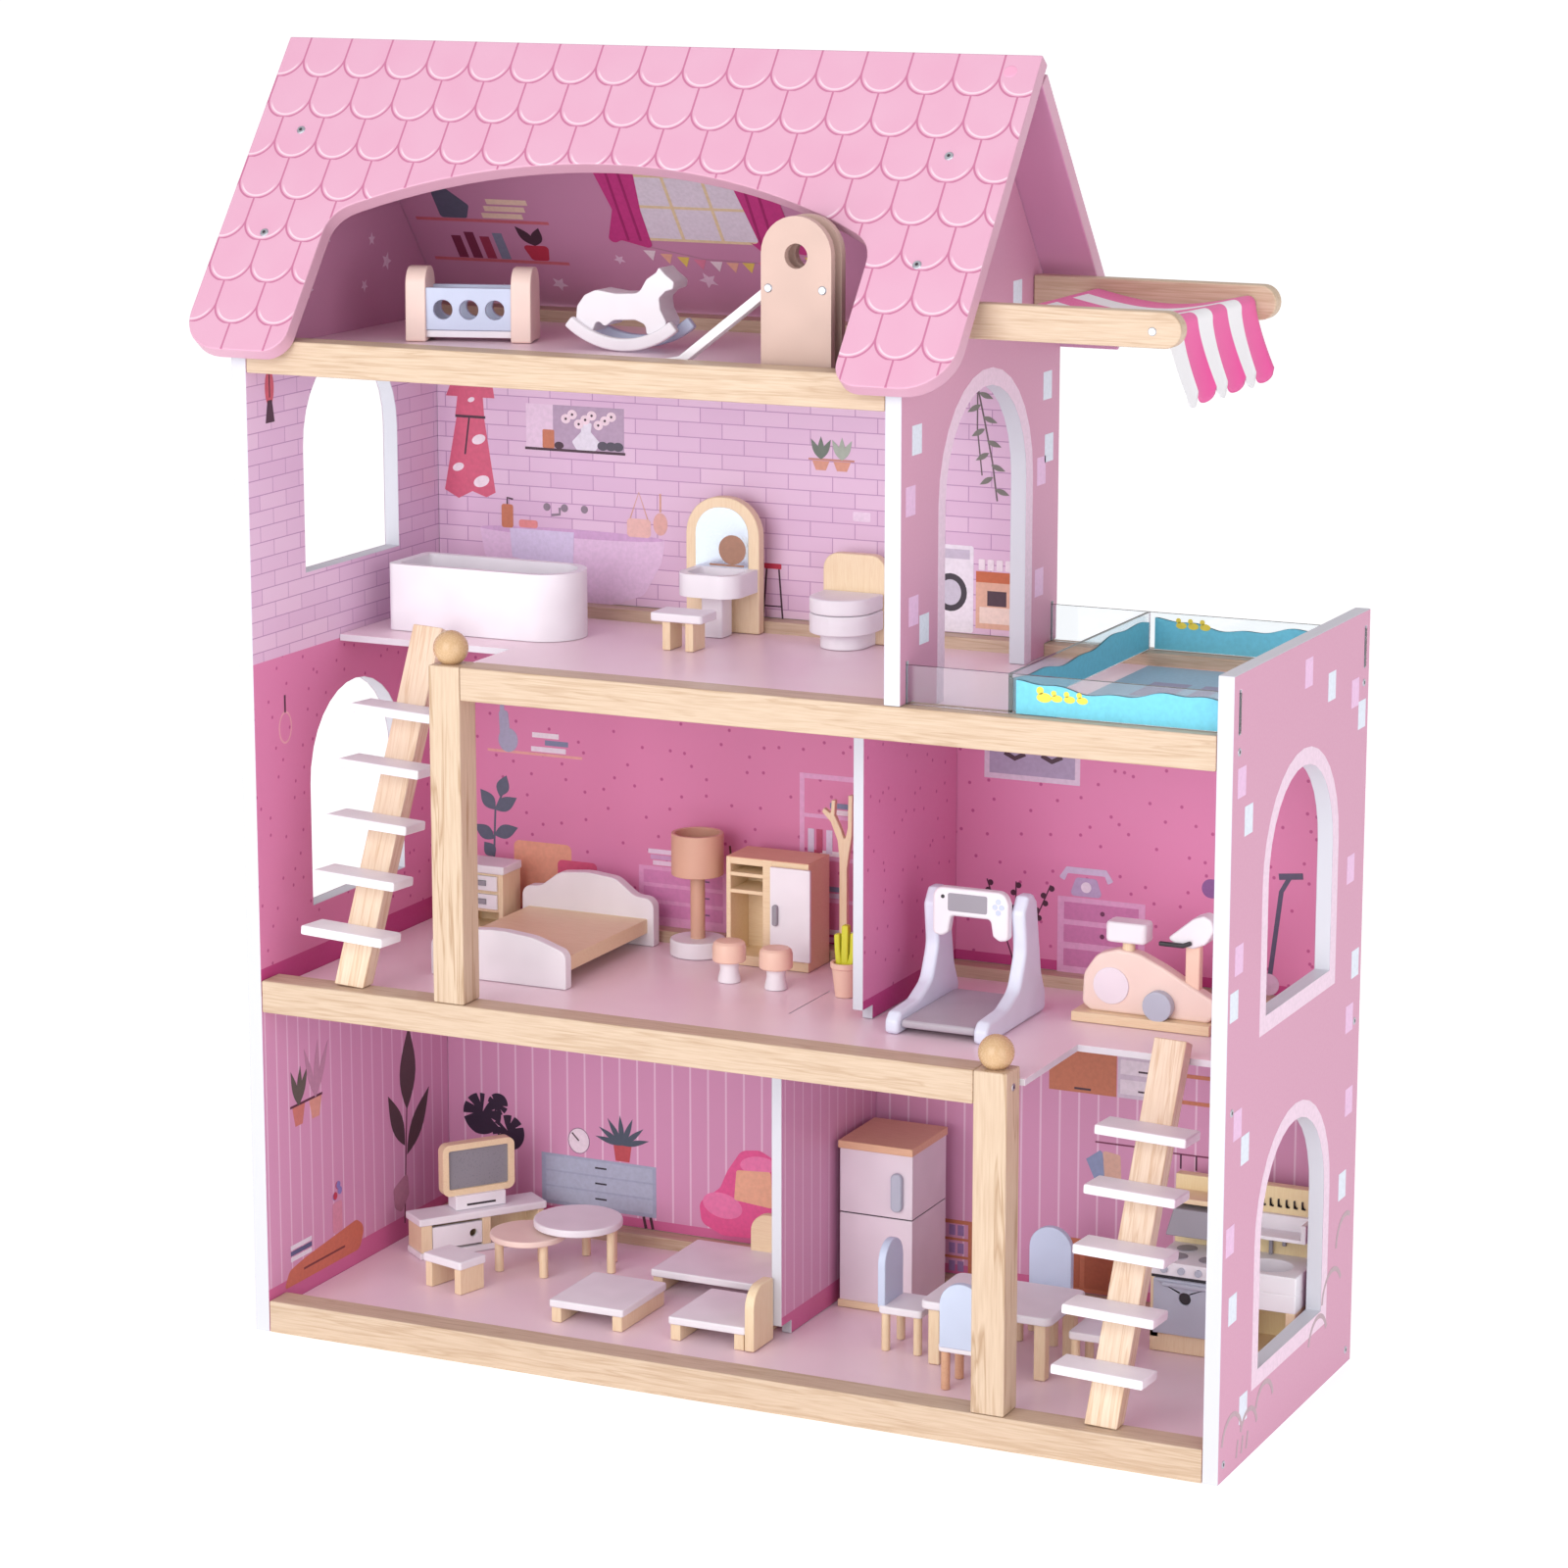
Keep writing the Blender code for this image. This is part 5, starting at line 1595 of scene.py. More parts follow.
@dataclass
class Bathroom:
    """Bathtub, washstand, stool and toilet."""

    tub: tuple[float, float, float] = (74.0, 30.0, 49.7)
    mirror_high: float = 100.7
    stool_high: float = 27.7
    toilet_high: float = 65.7

    def build(self) -> None:
        """Builds the bathroom furniture."""
        long, deep, high = self.tub
        tub = Workbench("bathtub")
        outer = rect(-long, long, -deep, deep, (6, 29.9, 29.9, 6))
        inner = rect(-67, 67, -24, 24, (4, 23.9, 23.9, 4))
        tub.boards("shell", WHITE, [("xy", outer, 0.1, high, [inner])], 1.4)
        tub.boards("bottom", WHITE, [("xy", rect(-67.5, 67.5, -24.5, 24.5, (4, 24, 24, 4)), 0.2, 7)], 0)
        tub.turned("drain", GREY, [(0, 6.5), (3, 6.5), (3, 7.4), (0, 7.4)], [(-52, 0)], 0.2)

        stand = Workbench("washstand", centre=(0, -20, 0))
        board = rect(-30, 30, 0, self.mirror_high, (0, 0, 28, 28))
        stand.boards("board", BEECH_Z, [("xz", board, -4.5, 5)], 1.2)
        glass = rect(-21.5, 21.5, 48, 93, (1, 1, 20, 20))
        stand.boards("mirror", MIRROR, [("xz", glass, -5.1, -4.4)], 0)
        # a brown disc with a bar under it on the mirror paints a reflection of a wooden ball and rail
        stand.boards("mirror_painted_reflection", Ink("ink_painted_reflection_brown", "sky_paint", "#A87C66"),
            [("xz", oval(8.5, 62, 11, 11), -5.3, -5.05), ("xz", rect(-10, 18, 49.5, 51), -5.3, -5.05)], 0)
        basin = rect(-21, 29, -45, -3.5, (15, 15, 0, 0))
        bowl = rect(-15, 23, -39.5, -9, (11, 11, 5, 5))
        stand.boards("basin", WHITE, [("xy", basin, 37.5, 48.7, [bowl]), ("xy", basin, 31.7, 38)], 1.2)
        stand.blocks("pedestal", WHITE, [(-5.2, 12, -30, -12, 0, 33)], 0.8, 2)

        stool = Workbench("bath_stool")
        stool.blocks("seat", WHITE, [(-21, 21, -13.5, 13.5, 21.2, self.stool_high)], 1.2, 3)
        stool.blocks("legs", BEECH_Z, [(x, x + 6.5, -10, 10, 0, 22) for x in (-12.5, 6)], 0.6)

        toilet = Workbench("toilet", centre=(0, -3.25, 0))
        back = rect(-25, 25, 0, self.toilet_high, (0, 0, 12, 12))
        toilet.boards("board", BEECH_Z, [("xz", back, 14.5, 23.5)], 1.2)
        seat = rect(-24, 24, -30, 14, (23.9, 23.9, 0, 0))
        toilet.boards("bowl", WHITE, [("xy", seat, 11.7, 26.3)], 1.2)
        foot = rect(-17.5, 17.5, -20, 15, (17.4, 17.4, 0, 0))
        toilet.boards("foot", WHITE, [("xy", foot, 0, 12.7)], 1.0)
        lid = Workbench("toilet_lid", centre=(0, -21.9, 0))
        cover = rect(-24, 24, -43.8, 0, (23.9, 23.9, 0, 0))
        lid.boards("cover", WHITE, [("xy", cover, 0, 11.7)], 1.6)


@dataclass
class Bedroom:
    """Nightstand, bed, floor lamp, wardrobe, round stools, cactus and coat stand."""

    bed_half: float = 56.2
    wardrobe_high: float = 82.4
    cactus_at: Point = (388.5, 171.5)
    stand_at: Point = (353.0, 247.0)
    stand_scale: float = 0.79

    def build(self) -> None:
        """Builds the bedroom furniture."""
        night = Workbench("nightstand")
        ends = [("xz", rect(x, x + 4, 0, 47), -13.5, 15) for x in (-18.5, 14.5)]
        night.boards("carcass", BEECH_Z, [*ends, ("xz", rect(-15, 15, 0, 47), 10.5, 15),
            ("xy", rect(-15, 15, -13.5, 11), 0, 4), ("xy", rect(-15, 15, -13, 11), 16, 46.5)], 0.5)
        night.blocks("top", WHITE, [(-20, 20, -15, 15, 46.2, 52.7)], 1.2)
        night.blocks("drawer_fronts", WHITE, [(-14, 14, -15.2, -12.5, z, z + 11.3) for z in (33.2, 18.9)], 1.0,
            1.5)
        night.blocks("drawer_pulls", GREY, [(-5, 5, -16, -15, z, z + 4) for z in (37, 22.6)], 0.4, 1)

        bed = Workbench("bed")
        half = self.bed_half
        foot = rounded([(-half, 0), (half, 0), (half, 27.7), (30, 36.5), (0, 39.5), (-30, 36.5), (-half, 27.7)],
            (1, 1, 8, 30, 60, 30, 8))
        head = rounded([(-half, 0), (half, 0), (half, 36.7), (40, 38), (24, 50), (0, 52.5), (-24, 50),
            (-40, 38), (-half, 36.7)], (1, 1, 8, 12, 14, 30, 14, 12, 8))
        bed.boards("ends", WHITE, [("xz", foot, -76, -66.5), ("xz", head, 66, 76)], 1.8)
        bed.blocks("base", BEECH_X, [(-51, 51, -67.5, 67, 10, 21.2)], 0.8)

        lamp = Workbench("floor_lamp")
        lamp.turned("foot", WHITE, [(0, 0), (21, 0), (21, 12.7), (0, 12.7)], edge=1.4)
        lamp.turned("stem", CLAY, [(0, 12), (5.5, 12), (5.5, 74), (0, 74)], edge=0.3)
        shade = [(0, 73), (16.8, 73), (16.8, 61.7), (19.7, 61.7), (19.7, 93.7), (16.8, 93.7), (16.8, 77),
            (0, 77)]
        lamp.turned("shade", CLAY, shade, edge=0.7)

        wardrobe = Workbench("wardrobe")
        front, back = -18.6, 18.6
        boards = [("xz", rect(x0, x1, 0, 82.2), front, back) for x0, x1 in ((-33.8, -30), (-4, 4), (30, 33.8))]
        boards += [("xy", rect(-31, 31, front + 0.3, back - 0.5), z0, z1) for z0, z1 in ((0, 7.7), (76.7, 82))]
        boards += [("xy", rect(-31, -3, front + 0.3, 14), z0, z1) for z0, z1 in ((54.7, 57.7), (67.7, 70.7))]
        boards.append(("xz", rect(-31, 31, 1, 81), 12, back - 0.3))
        wardrobe.boards("carcass", BEECH_X, boards, 0.7)
        wardrobe.blocks("top", BEECH_TAN, [(-33.6, 33.6, front + 0.3, back - 0.3, 81.6, self.wardrobe_high)],
            0.3)
        door = Workbench("wardrobe_door", centre=(-16.4, -3, 0))
        door.blocks("panel", WHITE, [(-32.8, 0, -3.2, 0, 0, 70)], 0.8)
        pull = rect(-30, -25.6, 26, 42, 2)
        door.boards("pull", GREY, [("xz", pull, -6, -3.0)], 0.8)

        cap = [(0, 15.5), (11.5, 15.5), (12.3, 16.5), (12.3, 26), (11.6, 29), (9.8, 30.6), (6, 31.1), (0, 31.2)]
        foot = [(0, 0), (8.5, 0), (8.2, 3), (6.8, 9), (7.2, 15.8), (0, 15.8)]
        for node in ("mushroom_stool_left", "mushroom_stool_right"):
            stool = Workbench(node)
            stool.turned("cap", PEACH, cap, edge=0)
            stool.turned("foot", WHITE, foot, edge=0.6)
        self.cactus()
        self.coat_stand()

    def cactus(self) -> None:
        """Builds the potted cactus beside the partition."""
        place = Matrix.Translation((INNER_LEFT + self.cactus_at[0], FRONT + self.cactus_at[1],
            LEVELS["first"] - FLOOR_DROP + GAP))
        pot = bmesh.new()
        add_turned(pot, [(0, 0), (7.5, 0), (10, 21), (11, 21.5), (11, 25.5), (8.8, 25.5), (8.2, 22), (0, 22)])
        piece("cactus_pot", pot, PEACH, edge=0.4, place=place)
        prongs = bmesh.new()
        for k, (path, thick) in enumerate((([(0, 20), (0.5, 53)], 5.5), ([(-4, 20), (-5.5, 34), (-6, 46)], 4.5),
                ([(3.5, 20), (6.5, 33), (7, 48)], 4.5))):
            add_plate(prongs, "xz", rounded(ribbon(path, thick), 1.6), -3 - 0.1 * k, 3 + 0.1 * k)
        piece("cactus_prongs", prongs, LIME, edge=1.2, place=place)

    def coat_stand(self) -> None:
        """Builds the branching wooden coat stand in the rear corner beside the wardrobe."""
        place = Matrix.Translation((INNER_LEFT + self.stand_at[0], FRONT + self.stand_at[1],
            LEVELS["first"] - FLOOR_DROP + GAP))
        place @= Matrix.Scale(self.stand_scale, 4)
        trunk = [(-4, 4), (4, 4), (4, 95), (6, 110), (9, 128), (9.5, 166), (5, 166), (4.5, 135), (1.5, 122),
            (-2, 132), (-9, 146), (-8, 160), (-12, 160), (-13, 147), (-20, 152), (-22, 148), (-13, 139),
            (-6, 122), (-4, 105)]
        cut("coat_stand_trunk", BEECH_Z, "xz", rounded(trunk, 1.0), -3, 3, edge=1.0, place=place)
        mesh = bmesh.new()
        add_turned(mesh, [(0, 0), (9.5, 0), (9.5, 5), (0, 5)])
        piece("coat_stand_foot", mesh, BEECH_Z, edge=1.0, place=place)


@dataclass
class Gym:
    """Treadmill and exercise bike."""

    side_thick: float = 11.0
    wheel: float = 13.5
    crank: float = 11.0

    def build(self) -> None:
        """Builds the gym machines."""
        mill = Workbench("treadmill", centre=(0, -1, 0))
        side = rounded([(-56, 0), (54, 0), (54, 14), (46, 30), (36, 84), (29, 90.7), (19, 90.7), (11, 80),
            (15, 50), (4, 26), (-18, 17), (-50, 15.7), (-56, 10)], (4, 5, 10, 30, 4, 3, 3, 6, 20, 16, 20, 6, 4))
        mill.boards("sides", SatinPaint("pale_blue_satin_paint", "sky_paint", "#E4EAFA"),
            [("yz", side, x, x + self.side_thick) for x in (-39.2, 28.2)], 3.0)
        mill.blocks("belt", SatinPaint("belt_grey_paint", "slate_paint", "#B7AFB9"),
            [(-28.6, 28.6, -52, 46, 4.5, 10.7)], 2.6)
        pad = [(-29, 94.7), (-29.2, 86), (-29.2, 60), (-22, 58.7), (-17, 62), (-15, 74), (15, 74), (17, 62),
            (22, 58.7), (29.2, 60), (29.2, 86), (26, 94.7)]
        panel = rounded(pad, (8, 4, 4, 4, 3, 3, 3, 3, 4, 4, 4, 8))
        mill.boards("console", WHITE, [("xz", panel, 5, 14)], 2.2)
        mill.boards("screen", GREY, [("xz", rect(-17, 13, 78, 91, 1.5), 4.5, 5.4)], 0.2)
        buttons = [oval(x, z, 2, 2) for x, z in ((19, 84), (24, 84), (21.5, 88), (21.5, 80))]
        mill.boards("buttons", SKY, [("xz", b, 4.5, 5.2) for b in buttons], 0.2)
        mill.boards("joystick", BLACK_PAINT_AND_SHADE, [("xz", oval(-21, 88, 1.4, 1.4), 4.4, 5.2)], 0.2)

        bike = Workbench("exercise_bike", centre=(1, 0, 0))
        bike.blocks("base", BEECH_X, [(-52, 52, -14, 14, 0, 7.2)], 0.8)
        hull = [(-47, 12), (-40, 7), (48, 7), (54, 14), (52, 24), (36, 32), (14, 44), (-4, 52), (-20, 54),
            (-36, 49), (-46, 34)]
        bike.boards("hull", BLUSH, [("xz", rounded(hull, (6, 5, 5, 6, 5, 14, 20, 20, 14, 14, 12)), -6.5, 6.5)],
            2.4)
        bike.rods("flywheel", SatinPaint("lilac_white_paint", "white_paint", "#EFE3EC"),
            [((-24.5, -7.6, 27), (-24.5, -6, 27))], self.wheel, 0.6)
        bike.rods("crank", STEEL_GREY, [((12.5, -14, 17), (12.5, -6, 17))], self.crank, 1.0)
        bike.blocks("saddle", WHITE, [(-29, 1.5, -9, 9, 59, 74.2)], 2.4, 4)
        bike.rods("saddle_pin", BEECH_Z, [((-14, 0, 48), (-14, 0, 60))], 4.5)
        bike.blocks("post", PEACH, [(29.5, 40.5, -4, 4, 24, 68)], 1.6)
        grip = rounded([(17, 66), (24, 62), (36, 60), (46, 64), (52, 74), (50, 82), (44, 85), (36, 82)],
            (2, 5, 6, 8, 8, 5, 5, 12))
        bike.boards("console", WHITE, [("xz", grip, -8, 8)], 2.4)
        bar = [(12, 62.5), (30, 62.5), (36, 65)]
        bike.boards("handlebar", BLACK_PAINT_AND_SHADE, [("xz", ribbon(bar, 3.4), -11.5, -8)], 1.2)


@dataclass
class LivingRoom:
    """Television and cabinet, stool, nesting tables and three-part sofa."""

    cabinet_turn: float = 53.0
    stool_turn: float = -16.0

    def seat(self, node: str, width: float, depth: float, height: float, slab: float, leg: float,
             centre: tuple[float, float, float] = (0, 0, 0), turn: float = 0) -> Workbench:
        """Builds a white slab on two upright beech boards.

        Args:
            node: the frame node.
            width, depth, height: its size.
            slab, leg: the thickness of the slab and of the legs.
            centre, turn: as for the workbench.

        Returns:
            The workbench, for further pieces.
        """
        bench = Workbench(node, turn, centre)
        bench.blocks("slab", WHITE, [(-width / 2, width / 2, -depth / 2, depth / 2, height - slab, height)],
            1.3, 2)
        ends = (-width / 2 + 1.5, width / 2 - 1.5 - leg)
        bench.blocks("legs", BEECH_Z, [(x, x + leg, -depth / 2 + 1.5, depth / 2 - 1.5, 0, height - slab + 0.5)
            for x in ends], 0.6)
        return bench

    def build(self) -> None:
        """Builds the living room furniture."""
        turn = self.cabinet_turn
        cabinet = Workbench("tv_cabinet", turn, (53.5, 14, 0))
        cabinet.blocks("top", WHITE, [(0, 107, 0, 28, 26.5, 32.5)], 1.2)
        cabinet.blocks("plinth", WHITE, [(1, 106, 1, 27.5, 0, 5)], 0.8)
        cabinet.boards("carcass", BEECH_Z, [*[("xz", rect(x0, x1, 5, 26.5), 1.5, 27) for x0,
            x1 in ((2, 11), (53, 60), (100, 105))], ("xz", rect(3, 104, 5, 26.5), 24, 26.8)], 0.5)
        drawer = Workbench("tv_cabinet_drawer", turn, (0, 10, -8.6))
        hole = oval(13.5, 0, 3.2, 3.2)
        drawer.boards("front", WHITE, [("xz", rect(-20.6, 20.6, -8.6, 8.6), 0, 3.2, [hole])], 0.8)
        drawer.boards("box", BEECH_Z, [*[("xy", rect(x, x + 3, 3, 20), -8.4, 8) for x in (-20, 17)],
            ("xz", rect(-19, 19, -8.4, 8), 17.4, 20), ("xy", rect(-19, 19, 3, 19), -8.4, -6.4)], 0.3)
        tv = Workbench("tv", turn)
        outer = rect(-30, 30, 11, 52, 6)
        inner = rect(-25, 25, 16, 47, 1.5)
        tv.boards("frame", BEECH_X, [("xz", outer, -4.5, 4.5, [inner])], 1.6)
        tv.boards("screen", SatinPaint("screen_grey_paint", "slate_paint", "#8C8A92", 0.3),
            [("xz", rect(-26, 26, 15, 48), -2.6, 3)], 0)
        tv.boards("base", WHITE, [("xz", rect(-21, 21, 0, 11.4), -8, 8)], 1.0)
        # a thin black line paints the shade in the slot of the base
        tv.boards("base_slot_painted_shade", BLACK_PAINT_AND_SHADE, [("xz", ribbon([(-12, 4.0), (12, 4.0)], 1.6), -8.25, -7.9)], 0)

        self.seat("living_stool", 40, 28, 26, 6.5, 6.5, turn=self.stool_turn)
        for node, radius, height, top, finish in (("coffee_table_small", 29, 30.7, 5, BLUSH),
                ("coffee_table_big", 34, 39, 6, WHITE)):
            table = Workbench(node)
            disc = [(0, height - top), (radius, height - top), (radius, height), (0, height)]
            table.turned("top", finish, disc, edge=1.4)
            places = [((radius - 7) * math.cos(a), (radius - 7) * math.sin(a))
                for a in (math.radians(90 + 120 * k) for k in range(3))]
            if node == "coffee_table_big":
                places = [(18, 22), (29, -2), (-8, 28)]
            table.turned("legs", BEECH_Z, [(0, 0), (3.4, 0), (3.4, height - top + 0.5),
                (0, height - top + 0.5)], places, 0.4)
        self.seat("sofa_ottoman", 61, 72, 17.4, 6, 8)
        corner = self.seat("sofa_corner", 62, 71.8, 18, 6, 8, (3.6, -0.05, 0))
        arm = rect(-36, -2.6, 0.5, 47.7, (1, 1, 3, 16))
        corner.boards("arm", BEECH_Z, [("yz", arm, 30.6, 38.2)], 1.2)
        bench = self.seat("sofa_bench", 112, 80, 17.7, 6, 8, (0, 0.25, 0))
        back = rect(-8, 55, 2, 46.7, (3, 3, 14, 14))
        bench.boards("back", BEECH_X, [("xz", back, 33, 40.5)], 1.2)


@dataclass
class Kitchen:
    """Fridge, dining table, four chairs, cooker and sink."""

    fridge_high: float = 128.2
    table_high: float = 48.2
    chair_high: float = 80.0
    unit_high: float = 119.0

    def build(self) -> None:
        """Builds the kitchen furniture."""
        fridge = Workbench("fridge", centre=(0, -1.25, 0))
        cool = SatinPaint("lilac_grey_satin_paint", "white_paint", "#E6D8E2")
        fridge.blocks("lower", cool, [(-29.2, 29.2, -31, 31.5, 5, 72.6)], 0.7)
        fridge.blocks("upper", cool, [(-29.2, 29.2, -31, 31.5, 73.4, 123)], 0.7)
        # the black strip in the gap between the doors paints the shade in the carved line
        fridge.blocks("seam", BLACK_PAINT_AND_SHADE, [(-28.6, 28.6, -30.4, 31, 72, 74)], 0)
        fridge.blocks("top", BEECH_TAN, [(-30, 30, -33, 33, 122.2, self.fridge_high)], 0.8)
        fridge.blocks("foot", BEECH_X, [(-30, 30, -33, 33, 0, 5.5)], 0.8)
        pull = rect(13, 22, 79, 108.5, 4.4)
        fridge.boards("pull", STEEL_GREY, [("xz", pull, -35.5, -30.5)], 1.6)

        table = Workbench("dining_table")
        table.blocks("top", WHITE, [(-50, 50, -36, 36, 41.7, self.table_high)], 1.6, 6)
        table.blocks("legs", BEECH_Z, [(x, x + 9, y, y + 9, 0, 42) for x in (-45, 36) for y in (-32, 23)], 1.2)

        turns = {"chair_front": 0, "chair_left": -90, "chair_back": 180, "chair_right": 90}
        for node, turn in turns.items():
            chair = Workbench(node, turn, (0, -0.5, 0))
            chair.blocks("seat", WHITE, [(-18, 18, -17, 17, 28.2, 34.2)], 1.3, 3)
            back = rect(-16.5, 16.5, 32, self.chair_high, (1, 1, 16.4, 16.4))
            chair.boards("back", SKY, [("xz", back, -18, -12)], 1.3)
            places = [(x, y) for x in (-13.5, 13.5) for y in (-12.5, 12.5)]
            chair.turned("legs", BEECH_TAN if node == "chair_front" else BEECH_Z,
                [(0, 0), (3.2, 0), (3.2, 28.6), (0, 28.6)], places, 0.4)
        self.unit()

    def unit(self) -> None:
        """Builds the cooker and the sink on their shared back board."""
        unit = Workbench("kitchen_unit", centre=(-0.25, 1.75, 0))
        unit.blocks("back_board", Timber("lacquered_beech_yellow", "beech", grain="Z", pale="#F3E0B2",
            dark="#E5C98F", line_mm=2.5, contrast=0.2), [(-55, 54.5, 21.5, 30.5, 0, self.unit_high)], 1.0, 0)
        unit.boards("cooker_body", BEECH_Z, [("xy", rect(-55, 0, -27, 22), 0, 16.7),
            *[("xz", rect(x0, x1, 10, 58), -27, 22) for x0, x1 in ((-55, -48), (-7, 0))],
            ("xz", rect(-50, -5, 10, 58), 14, 22)], 0.7)
        unit.blocks("hob", WHITE, [(-55, 0, -28, 22, 57.5, 67.7)], 1.0)
        unit.turned("burners", GREY, [(0, 67), (7.5, 67), (7.5, 68.3), (0, 68.3)],
            [(-40, -12), (-16, -12), (-40, 8), (-16, 8)], 0.3)
        unit.rods("knobs", STEEL_GREY, [((x, -30.5, 62.6), (x, -27.5, 62.6)) for x in (-44, -31, -18, -8)], 2.6)
        # a black strip under the hob paints the shade in the gap above the oven door
        unit.blocks("cooker_gap_painted_shade", BLACK_PAINT_AND_SHADE, [(-54, -1, -27.4, -24, 55.6, 57.8)], 0)
        hood = [(-53, 79.7), (-2, 79.7), (-8, 100.7), (-47, 100.7)]
        unit.boards("hood", GREY, [("xz", hood, -4, 22)], 1.2)
        unit.blocks("hood_shelf", BEECH_X, [(-55, 0, -1, 22, 104, 108)], 0.6)
        bowl = oval(27, -6, 17.5, 15)
        unit.boards("basin", WHITE, [("xy", rect(-1, 54.5, -27, 22.5), 55, 68.7, [bowl]),
            ("xy", rect(-1, 54.5, -27, 22.5), 41.7, 55.5)], 1.0)
        unit.blocks("sink_end", BEECH_Z, [(47, 54.5, -27, 22.5, 0, 42)], 0.8)
        unit.blocks("sink_floor", BEECH_X, [(0, 47.2, -24, 22, 3, 7)], 0.5)
        unit.boards("tap", GREY, [("xz", ribbon([*[(20, 69 + k) for k in range(0, 9, 4)],
            *arc(25, 80, 5, 180, 0), (30, 76)], 3.0), 17, 20)], 0.8)
        unit.blocks("rack", WHITE, [(4, 52, 0, 22.5, 85, 88), (4, 8, 0, 22.5, 87, 99),
            (48, 52, 0, 22.5, 87, 99), (4, 52, 18, 22.5, 87, 99)], 0.8)
        hooks = [("xz", ribbon([(x, 110), (x, 104.5), (x + 2.4, 104.5)], 1.3), 20, 21.6)
            for x in range(12, 48, 6)]
        unit.boards("hooks", BLACK_PAINT_AND_SHADE, hooks, 0.3)

        door = Workbench("oven_door", centre=(0, -3, 0))
        eye = oval(0, 28, 4.6, 4.6)
        door.boards("panel", STEEL_GREY, [("xz", rect(-24, 24, 0, 41.0), -3.2, 0, [eye])], 0.7)
        # the black block inside the round window paints the shade of the oven's inside
        door.blocks("inner", BLACK_PAINT_AND_SHADE, [(-8, 8, -1.6, -0.4, 20, 36)], 0)
        door.blocks("rail", STEEL_GREY, [(-17, 17, -6, -2.8, 36.5, 39.5)], 1.0)


# ---------------------------------------------------------------- printed pictures


